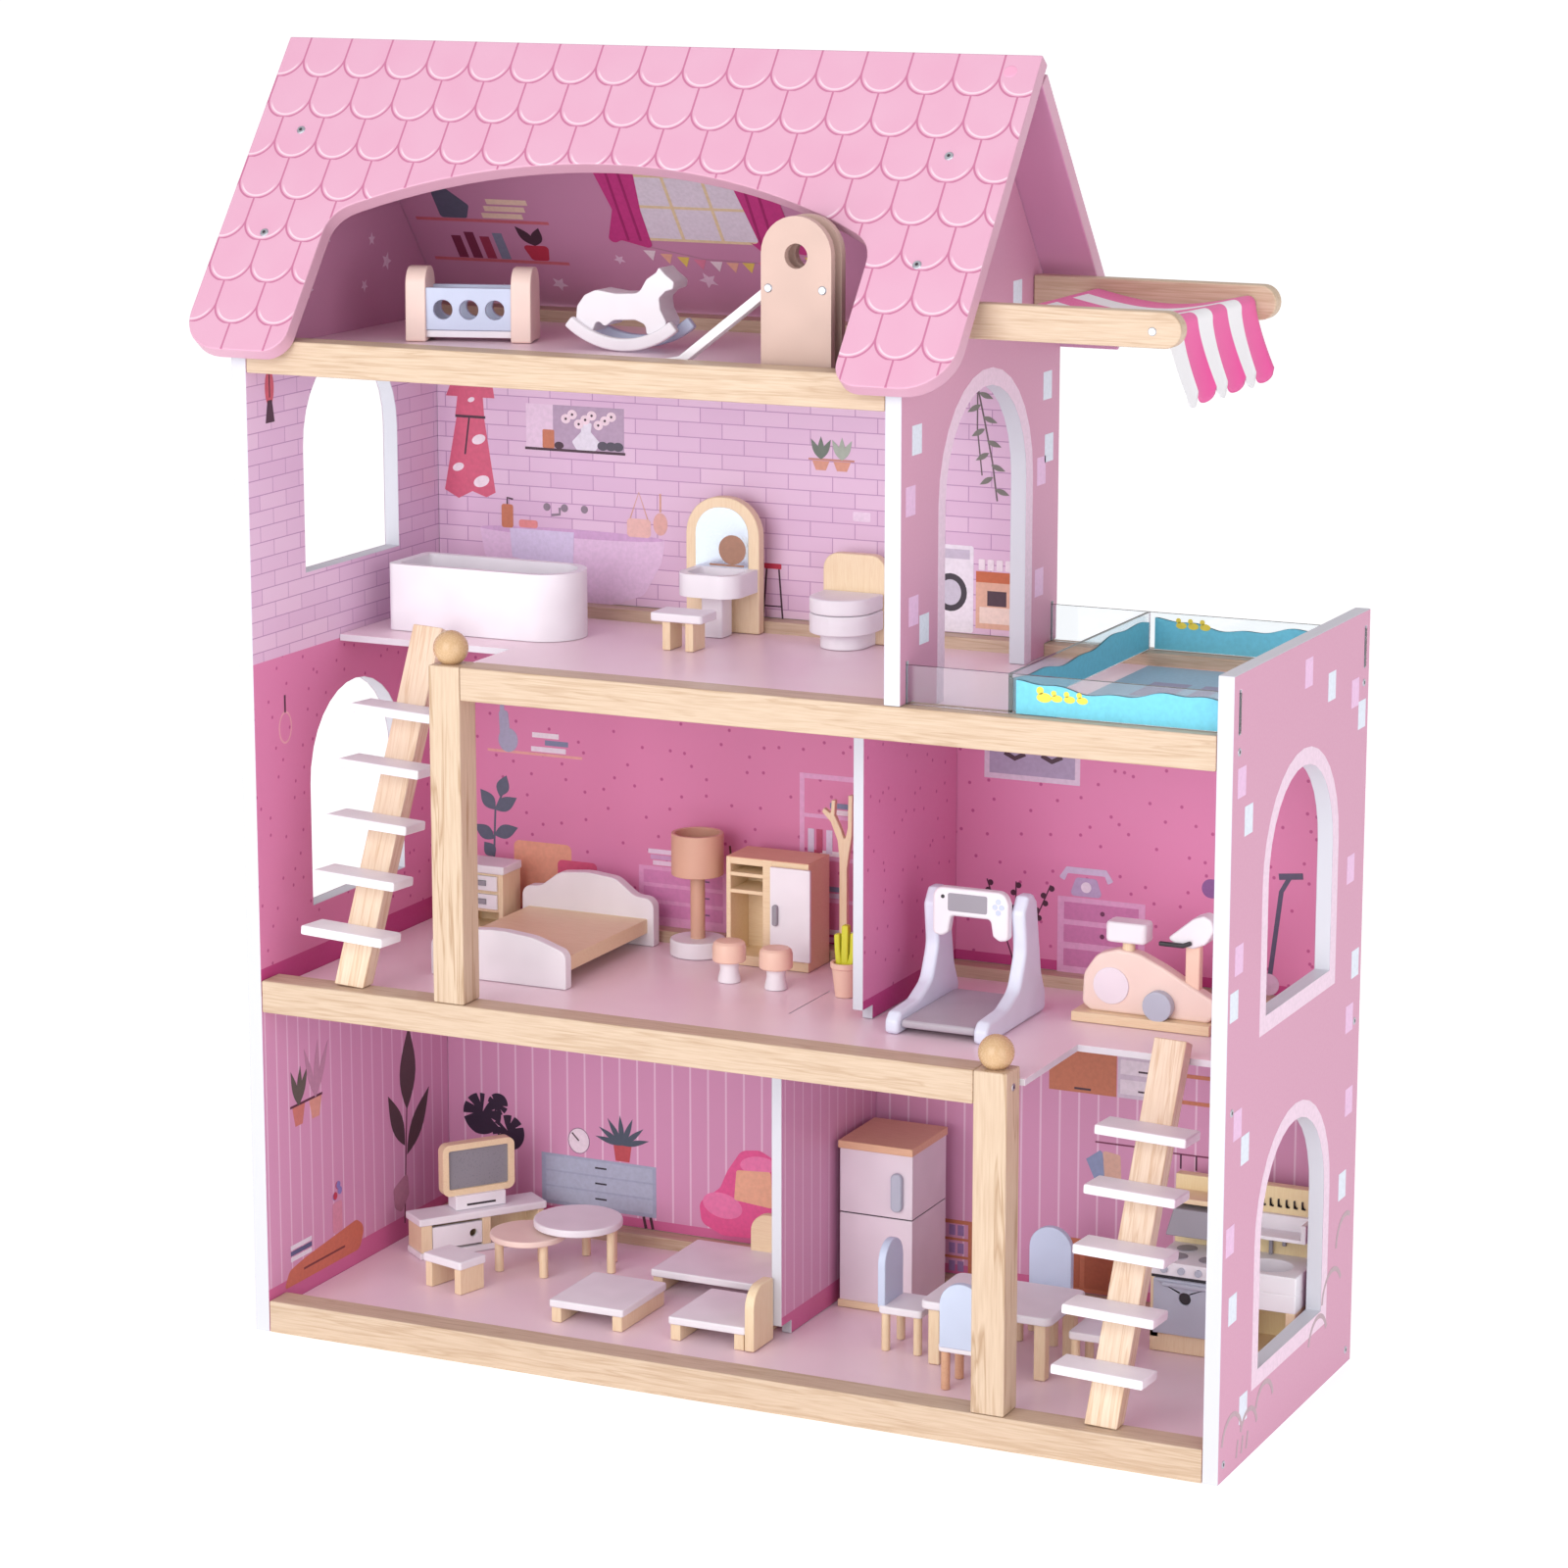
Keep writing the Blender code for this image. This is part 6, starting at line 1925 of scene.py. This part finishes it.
class Prints:
    """The generic printed pictures on the rooms' walls."""

    DARK = "#4A3140"
    CLAY = "#C97B5C"
    SLATE = "#5C6478"
    CREAM = "#F1D9C2"

    def back(self, name: str, node: str) -> PrintedWall:
        """Starts prints on a back panel, measured from the left wall and the ground."""
        face = node_box(node)[0].y
        return PrintedWall(name, Vector((INNER_LEFT, face, 0)), Vector((1, 0, 0)), Vector((0, 0, 1)))

    def left(self, name: str) -> PrintedWall:
        """Starts prints on the left wall's inner face, measured from the rear edge and the ground."""
        return PrintedWall(name, Vector((INNER_LEFT, FRONT, 0)), Vector((0, 1, 0)), Vector((0, 0, 1)))

    def build(self) -> None:
        """Prints every room."""
        self.attic()
        self.bathroom()
        self.bedroom()
        self.gym()
        self.living_room()
        self.kitchen()
        self.outside()

    def attic(self) -> None:
        """Shelves, curtained window, garland and stars on the roof's inner face, and stars on the left wall."""
        low, high = node_box("roof_rear")
        ridge = Vector((INNER_LEFT, low.y, high.z - 12 * math.cos(PITCH)))
        down = Vector((0, math.cos(PITCH), -math.sin(PITCH)))
        roof = PrintedWall("attic", ridge, Vector((1, 0, 0)), -down)
        for left, right, s in ((8, 120, 147), (10, 124, 187)):
            roof.line("#D0707C", [(left, -s), (right, -s)], 3)
        roof.stick(self.SLATE, rounded([(30, -145), (52, -145), (58, -132), (42, -114), (30, -120)], 3), 0)
        for k in range(3):
            roof.box(self.CREAM, 66 + 4 * k, 100 + 4 * k, -144 + 7 * k, -139 + 7 * k)
        for k, colour in enumerate(("#7D2F4E", "#7D2F4E", "#A33A58", "#8590A8")):
            roof.box(colour, 32 + 12 * k, 40 + 12 * k, -185, -163 + 4 * (k % 2))
        roof.stick("#C2364F", rounded([(94, -185), (108, -185), (112, -170), (90, -170)], 3))
        roof.stick(self.DARK, leaf(101, -170, 22, 9, 30), 1)
        roof.stick(self.DARK, leaf(101, -170, 20, 9, -25), 1)
        roof.box("#E9E3F0", 196, 292, -158, -96)
        for x in (196, 228, 260, 292):
            roof.line("#EBD9B0", [(x, -158), (x, -96)], 2.5, 1)
        for s in (-158, -126, -96):
            roof.line("#EBD9B0", [(195, s), (293, s)], 2.5, 1)
        for side in (-1, 1):
            x = 244 + side * 54
            drape = [(x - 17, -88), (x + 17, -88), (x + 15 + side * 4, -130), (x + 20 * (side > 0) + 10, -168),
                (x - 14, -160), (x - 20 * (side < 0) - 8, -168), (x - 12, -130)]
            roof.stick("#CB3F8B", rounded(drape, 4), 2)
            for k in (-6, 4):
                roof.line("#A92D70", [(x + k, -92), (x + k - 2, -160)], 2, 3)
        roof.line("#B98AA0", [(188, -164), (240, -176), (300, -178), (340, -168)], 1, 0)
        for k in range(11):
            x = 196 + 13 * k
            s = -168 - 10 * math.sin(math.pi * (k + 0.5) / 11)
            colour = ("#F2E3EC", "#EFB9A0", "#EBD36A", "#E58AA8")[k % 4]
            roof.stick(colour, [(x - 5, s), (x + 5, s), (x, s - 10)], 1)
        for x, s, size in ((109, -208, 7), (236, -197, 8), (168, -219, 8), (168, -180, 5), (330, -205, 7),
                (60, -215, 5), (400, -190, 8), (420, -130, 6), (290, -212, 5)):
            roof.stick("#EBCDE4", star(x, s, size, x))
        roof.finish()
        wall = self.left("attic_left")
        for y, z, size in ((115, 798, 7), (179, 790, 5), (200, 772, 7), (88, 762, 7), (167, 757, 5),
                (60, 775, 4), (140, 840, 6)):
            wall.stick("#EBCDE4", star(y, z, size, z), 0)
        wall.finish()

    def bathroom(self) -> None:
        """Dress, picture shelf, tub, taps, hanging things, pots and stool."""
        wall = self.back("bathroom", "back_panel_second")
        red = "#D6607E"
        wall.stick(red, [(20, 690), (46, 690), (50, 664), (40, 664), (41, 650), (16, 650), (18, 664), (8, 664)])
        wall.stick(red, [(17, 648), (41, 648), (50, 592), (42, 588), (30, 592), (18, 586), (6, 592)])
        wall.line(self.DARK, [(16, 649), (42, 649)], 2, 1)
        wall.line(self.DARK, [(28, 648), (24, 620)], 1.4, 1)
        for x, z, r in ((22, 678, 4), (36, 632, 6), (18, 610, 5), (38, 600, 7), (30, 662, 3)):
            wall.stick("#F3E3EC", oval(x, z, r, r * 0.6, 20), 1)
        wall.box("#B9A0BA", 100, 160, 629, 662)
        wall.box("#EBD0E6", 77, 100, 629, 662)
        wall.line(self.DARK, [(76, 628), (161, 628)], 2, 1)
        wall.box(self.CLAY, 91, 101, 629, 643, 1, 1)
        wall.dot(self.DARK, 105, 631.5, 4, 2.8, 1)
        wall.stick("#E9E4F0", rounded([(120, 629), (136, 629), (140, 635), (132, 643), (133, 650), (123, 650),
            (124, 643), (116, 635)], 1.5), 1)
        for k in range(8):
            wall.dot("#F3DCE6", 111 + 5.5 * k, 652 + 4 * math.sin(k * 2.1), 4, 3.6, 2)
            wall.dot(self.DARK, 111 + 5.5 * k, 652 + 4 * math.sin(k * 2.1), 1, 1, 3)
        for x in (142, 149, 155):
            wall.dot("#55505E", x, 633, 4.5, 3.4, 1)
        tub = [(36, 565), (194, 565), (191, 548), (176, 522), (150, 513), (90, 513), (52, 524), (40, 545)]
        wall.stick("#E7C8E6", rounded(tub, (2, 2, 8, 12, 16, 16, 12, 8)), 0)
        wall.dot("#D3A9D3", 115, 565, 79, 3.4, 1)
        wall.stick("#DCD0EE", [(62, 566), (117, 566), (116, 540), (100, 538), (64, 544)], 2)
        wall.box(self.CLAY, 55, 65, 566, 584, 1, 2)
        wall.line(self.DARK, [(60, 584), (60, 589), (65, 588)], 1.4, 1)
        wall.box("#E7908F", 70, 86, 567, 573, 1, 2)
        for x in (94, 109, 126):
            wall.dot("#8F7F8E", x, 584, 3, 3)
        wall.line("#8F7F8E", [(105, 584), (105, 579), (98, 578)], 2, 1)
        wall.line("#D9A58E", [(164, 578), (172, 600), (180, 578)], 1, 0)
        wall.box("#EBBDB5", 162, 182, 566, 580, 1, 3)
        wall.line("#D9A58E", [(190, 600), (190, 586)], 1.5, 0)
        wall.dot("#E3AFA6", 190, 577, 6, 8.5)
        wall.line("#C98A7A", [(312, 634), (349, 634)], 1.4, 0)
        for x in (322, 339):
            wall.stick("#D99A84", [(x - 7, 633), (x + 7, 633), (x + 4, 626), (x - 4, 626)], 0)
            for turn in (-28, 0, 28):
                wall.stick("#6E7A6E" if x < 330 else "#A9B3A5", leaf(x, 634, 17, 5, turn), 1)
        for x in (378, 390):
            wall.line(self.DARK, [(x, 612), (x, 700)], 1.5)
        for z in (616, 641, 666):
            wall.line(self.DARK, [(378, z), (390, z)], 1.5, 1)
        wall.box("#C2364F", 276, 290, 550, 554, 0, 1)
        for x0, x1 in ((278, 275), (288, 291)):
            wall.line(self.DARK, [(x0, 550), (x1, 513)], 1.4)
        wall.line(self.DARK, [(276, 522), (290, 522)], 1.0)
        wall.box(self.DARK, 376, 400, 516, 545)
        wall.box("#8A3E4C", 376, 400, 545, 551)
        wall.box("#EAD3E8", 348, 362, 590, 597, 0, 1)
        self.laundry(wall)
        wall.finish()
        side = self.left("bathroom_left")
        side.dot("#D0606F", 31, 697, 6, 13)
        side.line(self.DARK, [(31, 712), (31, 690)], 1.2, 1)
        side.stick(self.DARK, [(25, 672), (37, 672), (34, 688), (28, 688)], 1)
        side.finish()

    def laundry(self, wall: PrintedWall) -> None:
        """Prints the washing machine, basin shelf and hanging vine seen through the tower doorway.

        Args:
            wall: the bathroom's back wall.
        """
        wall.box("#EFE9F3", 408, 444, 514, 578, 0, 2)
        wall.box("#C9BFD2", 411, 441, 568, 575, 1)
        wall.dot("#3A333F", 426, 543, 13, 14, 1)
        wall.dot("#CBC6D6", 426, 543, 8.5, 9.5, 2)
        wall.box("#E3B49C", 446, 480, 518, 552)
        wall.box("#C7683F", 446, 480, 552, 560)
        wall.box("#F4DDD0", 449, 477, 522, 534, 1)
        wall.box(self.DARK, 455, 470, 535, 546, 1)
        for k in range(4):
            wall.box("#F3E7EF", 448 + 7 * k, 453 + 7 * k, 561, 569, 1, 1)
        wall.line("#6B5A60", [(446, 694), (452, 668), (458, 640), (462, 612)], 1.2)
        wall.line("#6B5A60", [(446, 694), (446, 664), (450, 630)], 1.0)
        for k in range(9):
            t = k / 9
            wall.stick("#7B7A72", leaf(447 + 15 * t, 690 - 78 * t, 12, 4, 120 if k % 2 else -110), 1)

    def bedroom(self) -> None:
        """Shelf, plant, armchair, dresser, bookcase and a ring on the left wall."""
        wall = self.back("bedroom", "back_panel_first")
        wall.line("#E6A9A0", [(40, 392), (122, 392)], 2)
        wall.dot("#A9A9C4", 58, 401, 8.5, 9.5)
        wall.stick("#A9A9C4", rounded([(51, 404), (60, 404), (58, 424), (50, 424)], 3))
        wall.dot("#A9A9C4", 53, 425, 2, 5)
        for x0, x1, z, c in ((78, 108, 394, "#E9DDEB"), (90, 110, 399.5, "#7D86A4"), (79, 102, 405, "#EEE3EE")):
            wall.box(c, x0, x1, z, z + 4)
        wall.line(self.SLATE, [(44, 300), (46, 345), (56, 366)], 1.6)
        for x, z, size, turn in ((46, 345, 22, -60), (46, 345, 20, 40), (45, 325, 22, -70), (45, 322, 20, 60),
                (50, 356, 18, -20), (45, 308, 14, 40)):
            wall.stick(self.SLATE, leaf(x, z, size, 11, turn), 1)
        wall.stick("#E9A58B", rounded([(62, 270), (112, 270), (112, 323), (62, 323)], 5))
        wall.box("#D8577F", 100, 134, 296, 311, 1, 4)
        wall.box("#E3A0CB", 170, 245, 268, 314)
        for z in (275, 288, 301):
            wall.box("#D788BB", 174, 241, z, z + 10, 1)
            wall.line("#7D5578", [(222, z + 5), (230, z + 5)], 1.2, 2)
        for k in range(3):
            wall.box(("#EBD0E6", "#CFA0CB", "#EAD3EA")[k], 182 - 2 * k, 214 + 2 * k, 315 + 4.4 * k,
                318.6 + 4.4 * k)
        wall.stick("#E3A9D2", rect(305, 372, 270, 398), 0, [rect(309, 368, 274, 394)])
        for z in (302, 334, 366):
            wall.line("#E3A9D2", [(307, z), (370, z)], 3, 0)
        for x, z, c in ((314, 304, "#D9CBE4"), (320, 309, "#8088A8"), (314, 336, "#C24F72"),
                (322, 336, "#EFE3EE"), (334, 368, "#EFE3EE"), (330, 373, "#8088A8"), (330, 276, "#EFE3EE")):
            wall.box(c, x, x + 24, z, z + 4, 1)
        for x in (312, 319, 327):
            wall.box("#B84A70" if x == 319 else "#D9CBE4", x, x + 5, 338, 356, 1)
        wall.dot("#C79A6A", 252, 300, 5, 8)
        wall.line("#6E4A3E", [(250, 306), (247, 336)], 1.6)
        wall.finish()
        side = self.left("bedroom_left")
        side.stick("#E6A9B4", oval(42, 448, 9, 12), 0, [oval(42, 448, 7.6, 10.6)])
        side.line(self.DARK, [(42, 459), (42, 472)], 2, 1)
        side.finish()

    def gym(self) -> None:
        """Picture frame, berry branches, telephone on a chest, and a scooter."""
        wall = self.back("gym", "back_panel_first")
        wall.box("#D9C6DA", 454, 529, 408, 470)
        wall.box("#A99BB8", 458, 525, 412, 466, 1)
        for x, c in ((478, "#E3B0A8"), (507, "#D98A62")):
            wall.dot(c, x, 442, 11, 14, 2)
            wall.line(self.DARK, [(x - 8, 428), (x, 424), (x + 8, 428)], 3.5, 3)
        reach = 62
        for turn, x in ((-22, 484), (18, 476), (0, 480)):
            tip = Vector((x - reach * math.sin(math.radians(turn)), 270 + reach))
            wall.line("#5B2A45", [(480, 268), tuple(tip)], 1.0)
            for k in range(5):
                t = 0.6 + 0.09 * k
                spot = Vector((480, 268)).lerp(tip, t)
                wall.dot("#4A2038", spot.x + 2 * (-1) ** k, spot.y, 2.2, 2.2, 1)
        wall.box("#E0A6CE", 513, 581, 268, 325)
        for z in (273, 291, 308):
            wall.box("#CC7DB0", 518, 576, z, z + 13, 1)
            wall.dot("#6B2F55", 548, z + 6.5, 1.8, 1.8, 2)
        wall.stick("#B9A3C9", rounded([(522, 326), (548, 326), (543, 340), (527, 340)], 3))
        wall.stick("#CDBBD9", rounded(ribbon([(516, 338), (520, 345), (550, 345), (554, 338)], 5), 1), 1)
        wall.dot("#E9DCEC", 535, 333, 4, 4, 1)
        wall.box("#8A5A97", 624, 660, 335, 349, 0, 6.9)
        wall.line("#55506A", [(676, 275), (684, 345), (690, 356)], 3.5)
        wall.line("#55506A", [(682, 356), (700, 358)], 4.5, 1)
        wall.dot("#D9B9D2", 676, 276, 8, 8, 1)
        wall.finish()

    def living_room(self) -> None:
        """Monstera, clock, aloe, dresser and beanbag on the back; plants and a bench on the left wall."""
        wall = self.back("living_room", "back_panel_ground")
        for x, z, radius, turn in ((31, 101, 19, 160), (53, 88, 16, 215), (44, 108, 10, -40)):
            wall.stick("#2E2038", split_leaf(x, z, radius, turn))
        wall.line("#2E2038", [(40, 60), (46, 90)], 1.5, 0)
        wall.dot("#F0E1EC", 116, 88, 9.5, 10.5)
        wall.stick("#8C6A86", oval(116, 88, 9.5, 10.5), 1, [oval(116, 88, 8.9, 9.9)])
        wall.line(self.DARK, [(110, 94), (116, 88)], 1.2, 1)
        wall.stick("#C24F56", [(148, 76), (160, 76), (162, 90), (146, 90)], 0)
        for turn in (-75, -50, -22, 5, 32, 58, 78):
            wall.stick("#4A5666", leaf(154, 89, 24, 4.5, turn), 1)
        wall.box("#A6AEC6", 83, 183, 34, 75)
        for z in (37, 49.5, 62):
            wall.box("#B3BBD0", 87, 180, z, z + 11, 1)
            wall.line("#2E2B38", [(130, z + 6), (140, z + 6)], 1.4, 2)
        for x in (172, 178):
            wall.line("#4A2C3A", [(x, 34), (x + 2, 24.6)], 2.4)
        bean = [(220, 52), (222, 36), (240, 28), (285, 30), (290, 60), (288, 92), (272, 100), (256, 98),
            (244, 80), (238, 66)]
        wall.stick("#E85A97", rounded(bean, (8, 8, 12, 4, 12, 12, 10, 10, 8, 8)))
        wall.stick("#F07FB2", oval(240, 52, 17, 10, -8), 1)
        wall.stick("#F07FB2", oval(270, 88, 15, 7, 6), 1)
        wall.stick("#F0B595", rounded([(250, 58), (283, 55), (281, 84), (252, 82)], 2), 2)
        wall.finish()
        side = self.left("living_left")
        side.line("#6E3A4A", [(201, 26), (205, 90), (208, 130)], 1.6)
        for x, z, size, wide, turn in ((207, 116, 66, 24, -4), (203, 88, 52, 16, 28), (206, 80, 58, 18, -38)):
            side.stick("#4E3A3E", leaf(x, z, size, wide, turn), 1)
        side.stick("#B98098", rounded([(184, 58), (206, 66), (208, 48), (196, 36), (186, 42)], 4), 2)
        side.line("#5B2A3E", [(36, 162), (82, 162)], 1.8, 0)
        for y, c, g in ((48, "#D07E72", "#5E5A50"), (72, "#DE9C8C", "#C08CA8")):
            side.stick(c, [(y - 9, 161), (y + 9, 161), (y + 5, 146), (y - 5, 146)])
            for turn in (-26, -6, 20):
                side.stick(g, leaf(y, 161, 30 if y < 60 else 44, 7, turn), 1)
        side.stick("#D0735A", rounded([(22, 25.5), (132, 25.5), (140, 42), (128, 50), (52, 42), (30, 38)],
            (2, 8, 8, 8, 10, 8)))
        side.line("#7A3838", [(50, 34), (110, 34)], 1.6, 1)
        for k, c in enumerate(("#EFE6F2", "#5D5F88", "#EFE6F2")):
            side.box(c, 32, 62, 44 + 4.5 * k, 47.5 + 4.5 * k, 1)
        side.box("#DD93AC", 93, 107, 48, 72, 1, 3)
        for k in range(5):
            side.dot("#C2364F" if k % 2 else "#8A7FC0", 100 + 4 * math.cos(k * 1.3), 80 + 5 * math.sin(k * 1.9),
                3, 3, 2)
        side.finish()

    def kitchen(self) -> None:
        """Wall and floor cupboards, shelves, a rail with cloths, and a rack."""
        wall = self.back("kitchen", "back_panel_ground")
        wall.box(self.CLAY, 508, 561, 178, 214)
        wall.line(self.DARK, [(528, 181), (541, 181)], 1.6, 1)
        wall.box("#D9CBDC", 562, 600, 178, 210)
        for z in (181, 196):
            wall.box("#EDE3EE", 564, 598, z, z + 11, 1)
            wall.line(self.DARK, [(578, z + 3), (590, z + 3)], 1.4, 2)
        for z in (182, 202):
            wall.box(self.CLAY, 612, 660, z - 3, z)
        wall.line("#7A2F50", [(545, 142), (585, 142)], 1.2)
        wall.line("#7A2F50", [(606, 141), (660, 141)], 1.2)
        for k in range(4):
            wall.line("#4A2038", [(612 + 12 * k, 141), (612 + 12 * k, 130)], 1.2, 1)
        wall.stick("#8E9CC0", [(538, 128), (549, 136), (557, 128), (552, 116), (545, 113)], 0)
        wall.stick("#DDB3A0", rounded([(551, 136), (565, 134), (566, 113), (553, 112)], 2), 0)
        wall.box(self.CLAY, 500, 570, 25, 66)
        wall.box("#B86A4C", 504, 534, 28, 62, 1)
        wall.box("#B86A4C", 538, 566, 28, 62, 1)
        wall.line(self.CLAY, [(418, 65.5), (470, 65.5)], 3)
        for x in (424, 446, 468):
            wall.line(self.CLAY, [(x, 25), (x, 65)], 3)
        for z in (38, 52):
            wall.line(self.CLAY, [(424, z), (468, z)], 2, 1)
        for x in (429, 436, 452, 459):
            for z in (27, 41, 55):
                wall.box("#A07FB4", x, x + 5, z, z + 8, 1)
        wall.finish()

    def outside(self) -> None:
        """Beige bush outlines low on the right wall."""
        face = node_box("right_wall")[1].x - Carcass.recess
        wall = PrintedWall("right_outer", Vector((face, FRONT, 0)), Vector((0, 1, 0)), Vector((0, 0, 1)))
        for y, z, r, start, end in ((26, 22, 20, 20, 170), (60, 18, 17, 10, 160), (92, 26, 18, 15, 165),
                (235, 60, 22, 30, 175), (262, 96, 20, 60, 180), (205, 36, 20, 20, 170)):
            wall.line("#B49AA3", arc(y, z, r, start, end), 3.6)
        for y in (36, 46, 56):
            wall.line("#B49AA3", [(y, 8), (y + 3, 20)], 3.0)
        wall.finish()


# ---------------------------------------------------------------- stage


@dataclass
class Studio:
    """Pale floor, soft lights and the camera."""

    LAMPS = (("key", (-0.4, -2.9, 1.3), 2.2, 50), ("fill", (2.6, -1.7, 0.9), 2.0, 21),
        ("top", (0.2, -0.8, 3.0), 2.0, 5))
    camera_at: tuple[float, float, float] = (1.3511, -2.8655, 1.1029)
    yaw: float = 25.174
    pitch: float = 12.186
    lens: float = 104.1
    ambient: float = 0.66
    floor_half: float = 80.0
    floor_gap: float = 0.0002
    floor_glow: float = 0.42

    def build(self) -> None:
        """Sets the stage."""
        low, high = CAD_LOW, CAD_HIGH
        mesh = bmesh.new()
        bmesh.ops.create_grid(mesh, x_segments=1, y_segments=1, size=self.floor_half)
        data = bpy.data.meshes.new("floor")
        mesh.to_mesh(data)
        mesh.free()
        floor = bpy.data.objects.new("floor", data)
        floor.location.z = low.z - self.floor_gap
        shader = Shader("matt_white_backdrop")
        data.materials.append(shader.finish("#FAFAFB", 0.9, Emission_Color=(1, 1, 1, 1),
            Emission_Strength=self.floor_glow))
        bpy.context.scene.collection.objects.link(floor)

        world = bpy.data.worlds.new("studio")
        bpy.context.scene.world = world
        world.use_nodes = True
        back = world.node_tree.nodes["Background"]
        back.inputs["Color"].default_value = (1.0, 0.99, 0.995, 1.0)
        seen = add_node(world.node_tree, "ShaderNodeLightPath", out="Is Camera Ray")
        strength = add_node(world.node_tree, "ShaderNodeMapRange", seen, To_Min=self.ambient)
        world.node_tree.links.new(strength, back.inputs["Strength"])
        middle = (low + high) / 2
        for name, place, size, power in self.LAMPS:
            light = bpy.data.lights.new(name, "AREA")
            light.energy = power
            light.size = size
            lamp = bpy.data.objects.new(name, light)
            lamp.location = place
            lamp.rotation_euler = (middle - Vector(place)).to_track_quat("-Z", "Y").to_euler()
            bpy.context.scene.collection.objects.link(lamp)
        camera = bpy.data.cameras.new("camera")
        camera.lens = self.lens
        camera.sensor_width = 36.0
        view = bpy.data.objects.new("camera", camera)
        view.location = self.camera_at
        view.rotation_euler = (math.radians(90 - self.pitch), 0, math.radians(self.yaw))
        bpy.context.scene.collection.objects.link(view)
        bpy.context.scene.camera = view
        bpy.context.scene.view_settings.view_transform = "Standard"


def main() -> None:
    """Builds the house from its carcass to its furniture and prints."""
    logging.basicConfig(level=logging.INFO, format="%(message)s")
    Studio().build()
    trim = RepeatedTrim(repeat_tree())
    for part in (Carcass(trim), Roof(trim), Awning(trim), Ladders(), Attic(trim), Bathroom(), Bedroom(), Gym(),
            LivingRoom(), Kitchen(), Prints()):
        part.build()


if __name__ == "__main__":
    main()
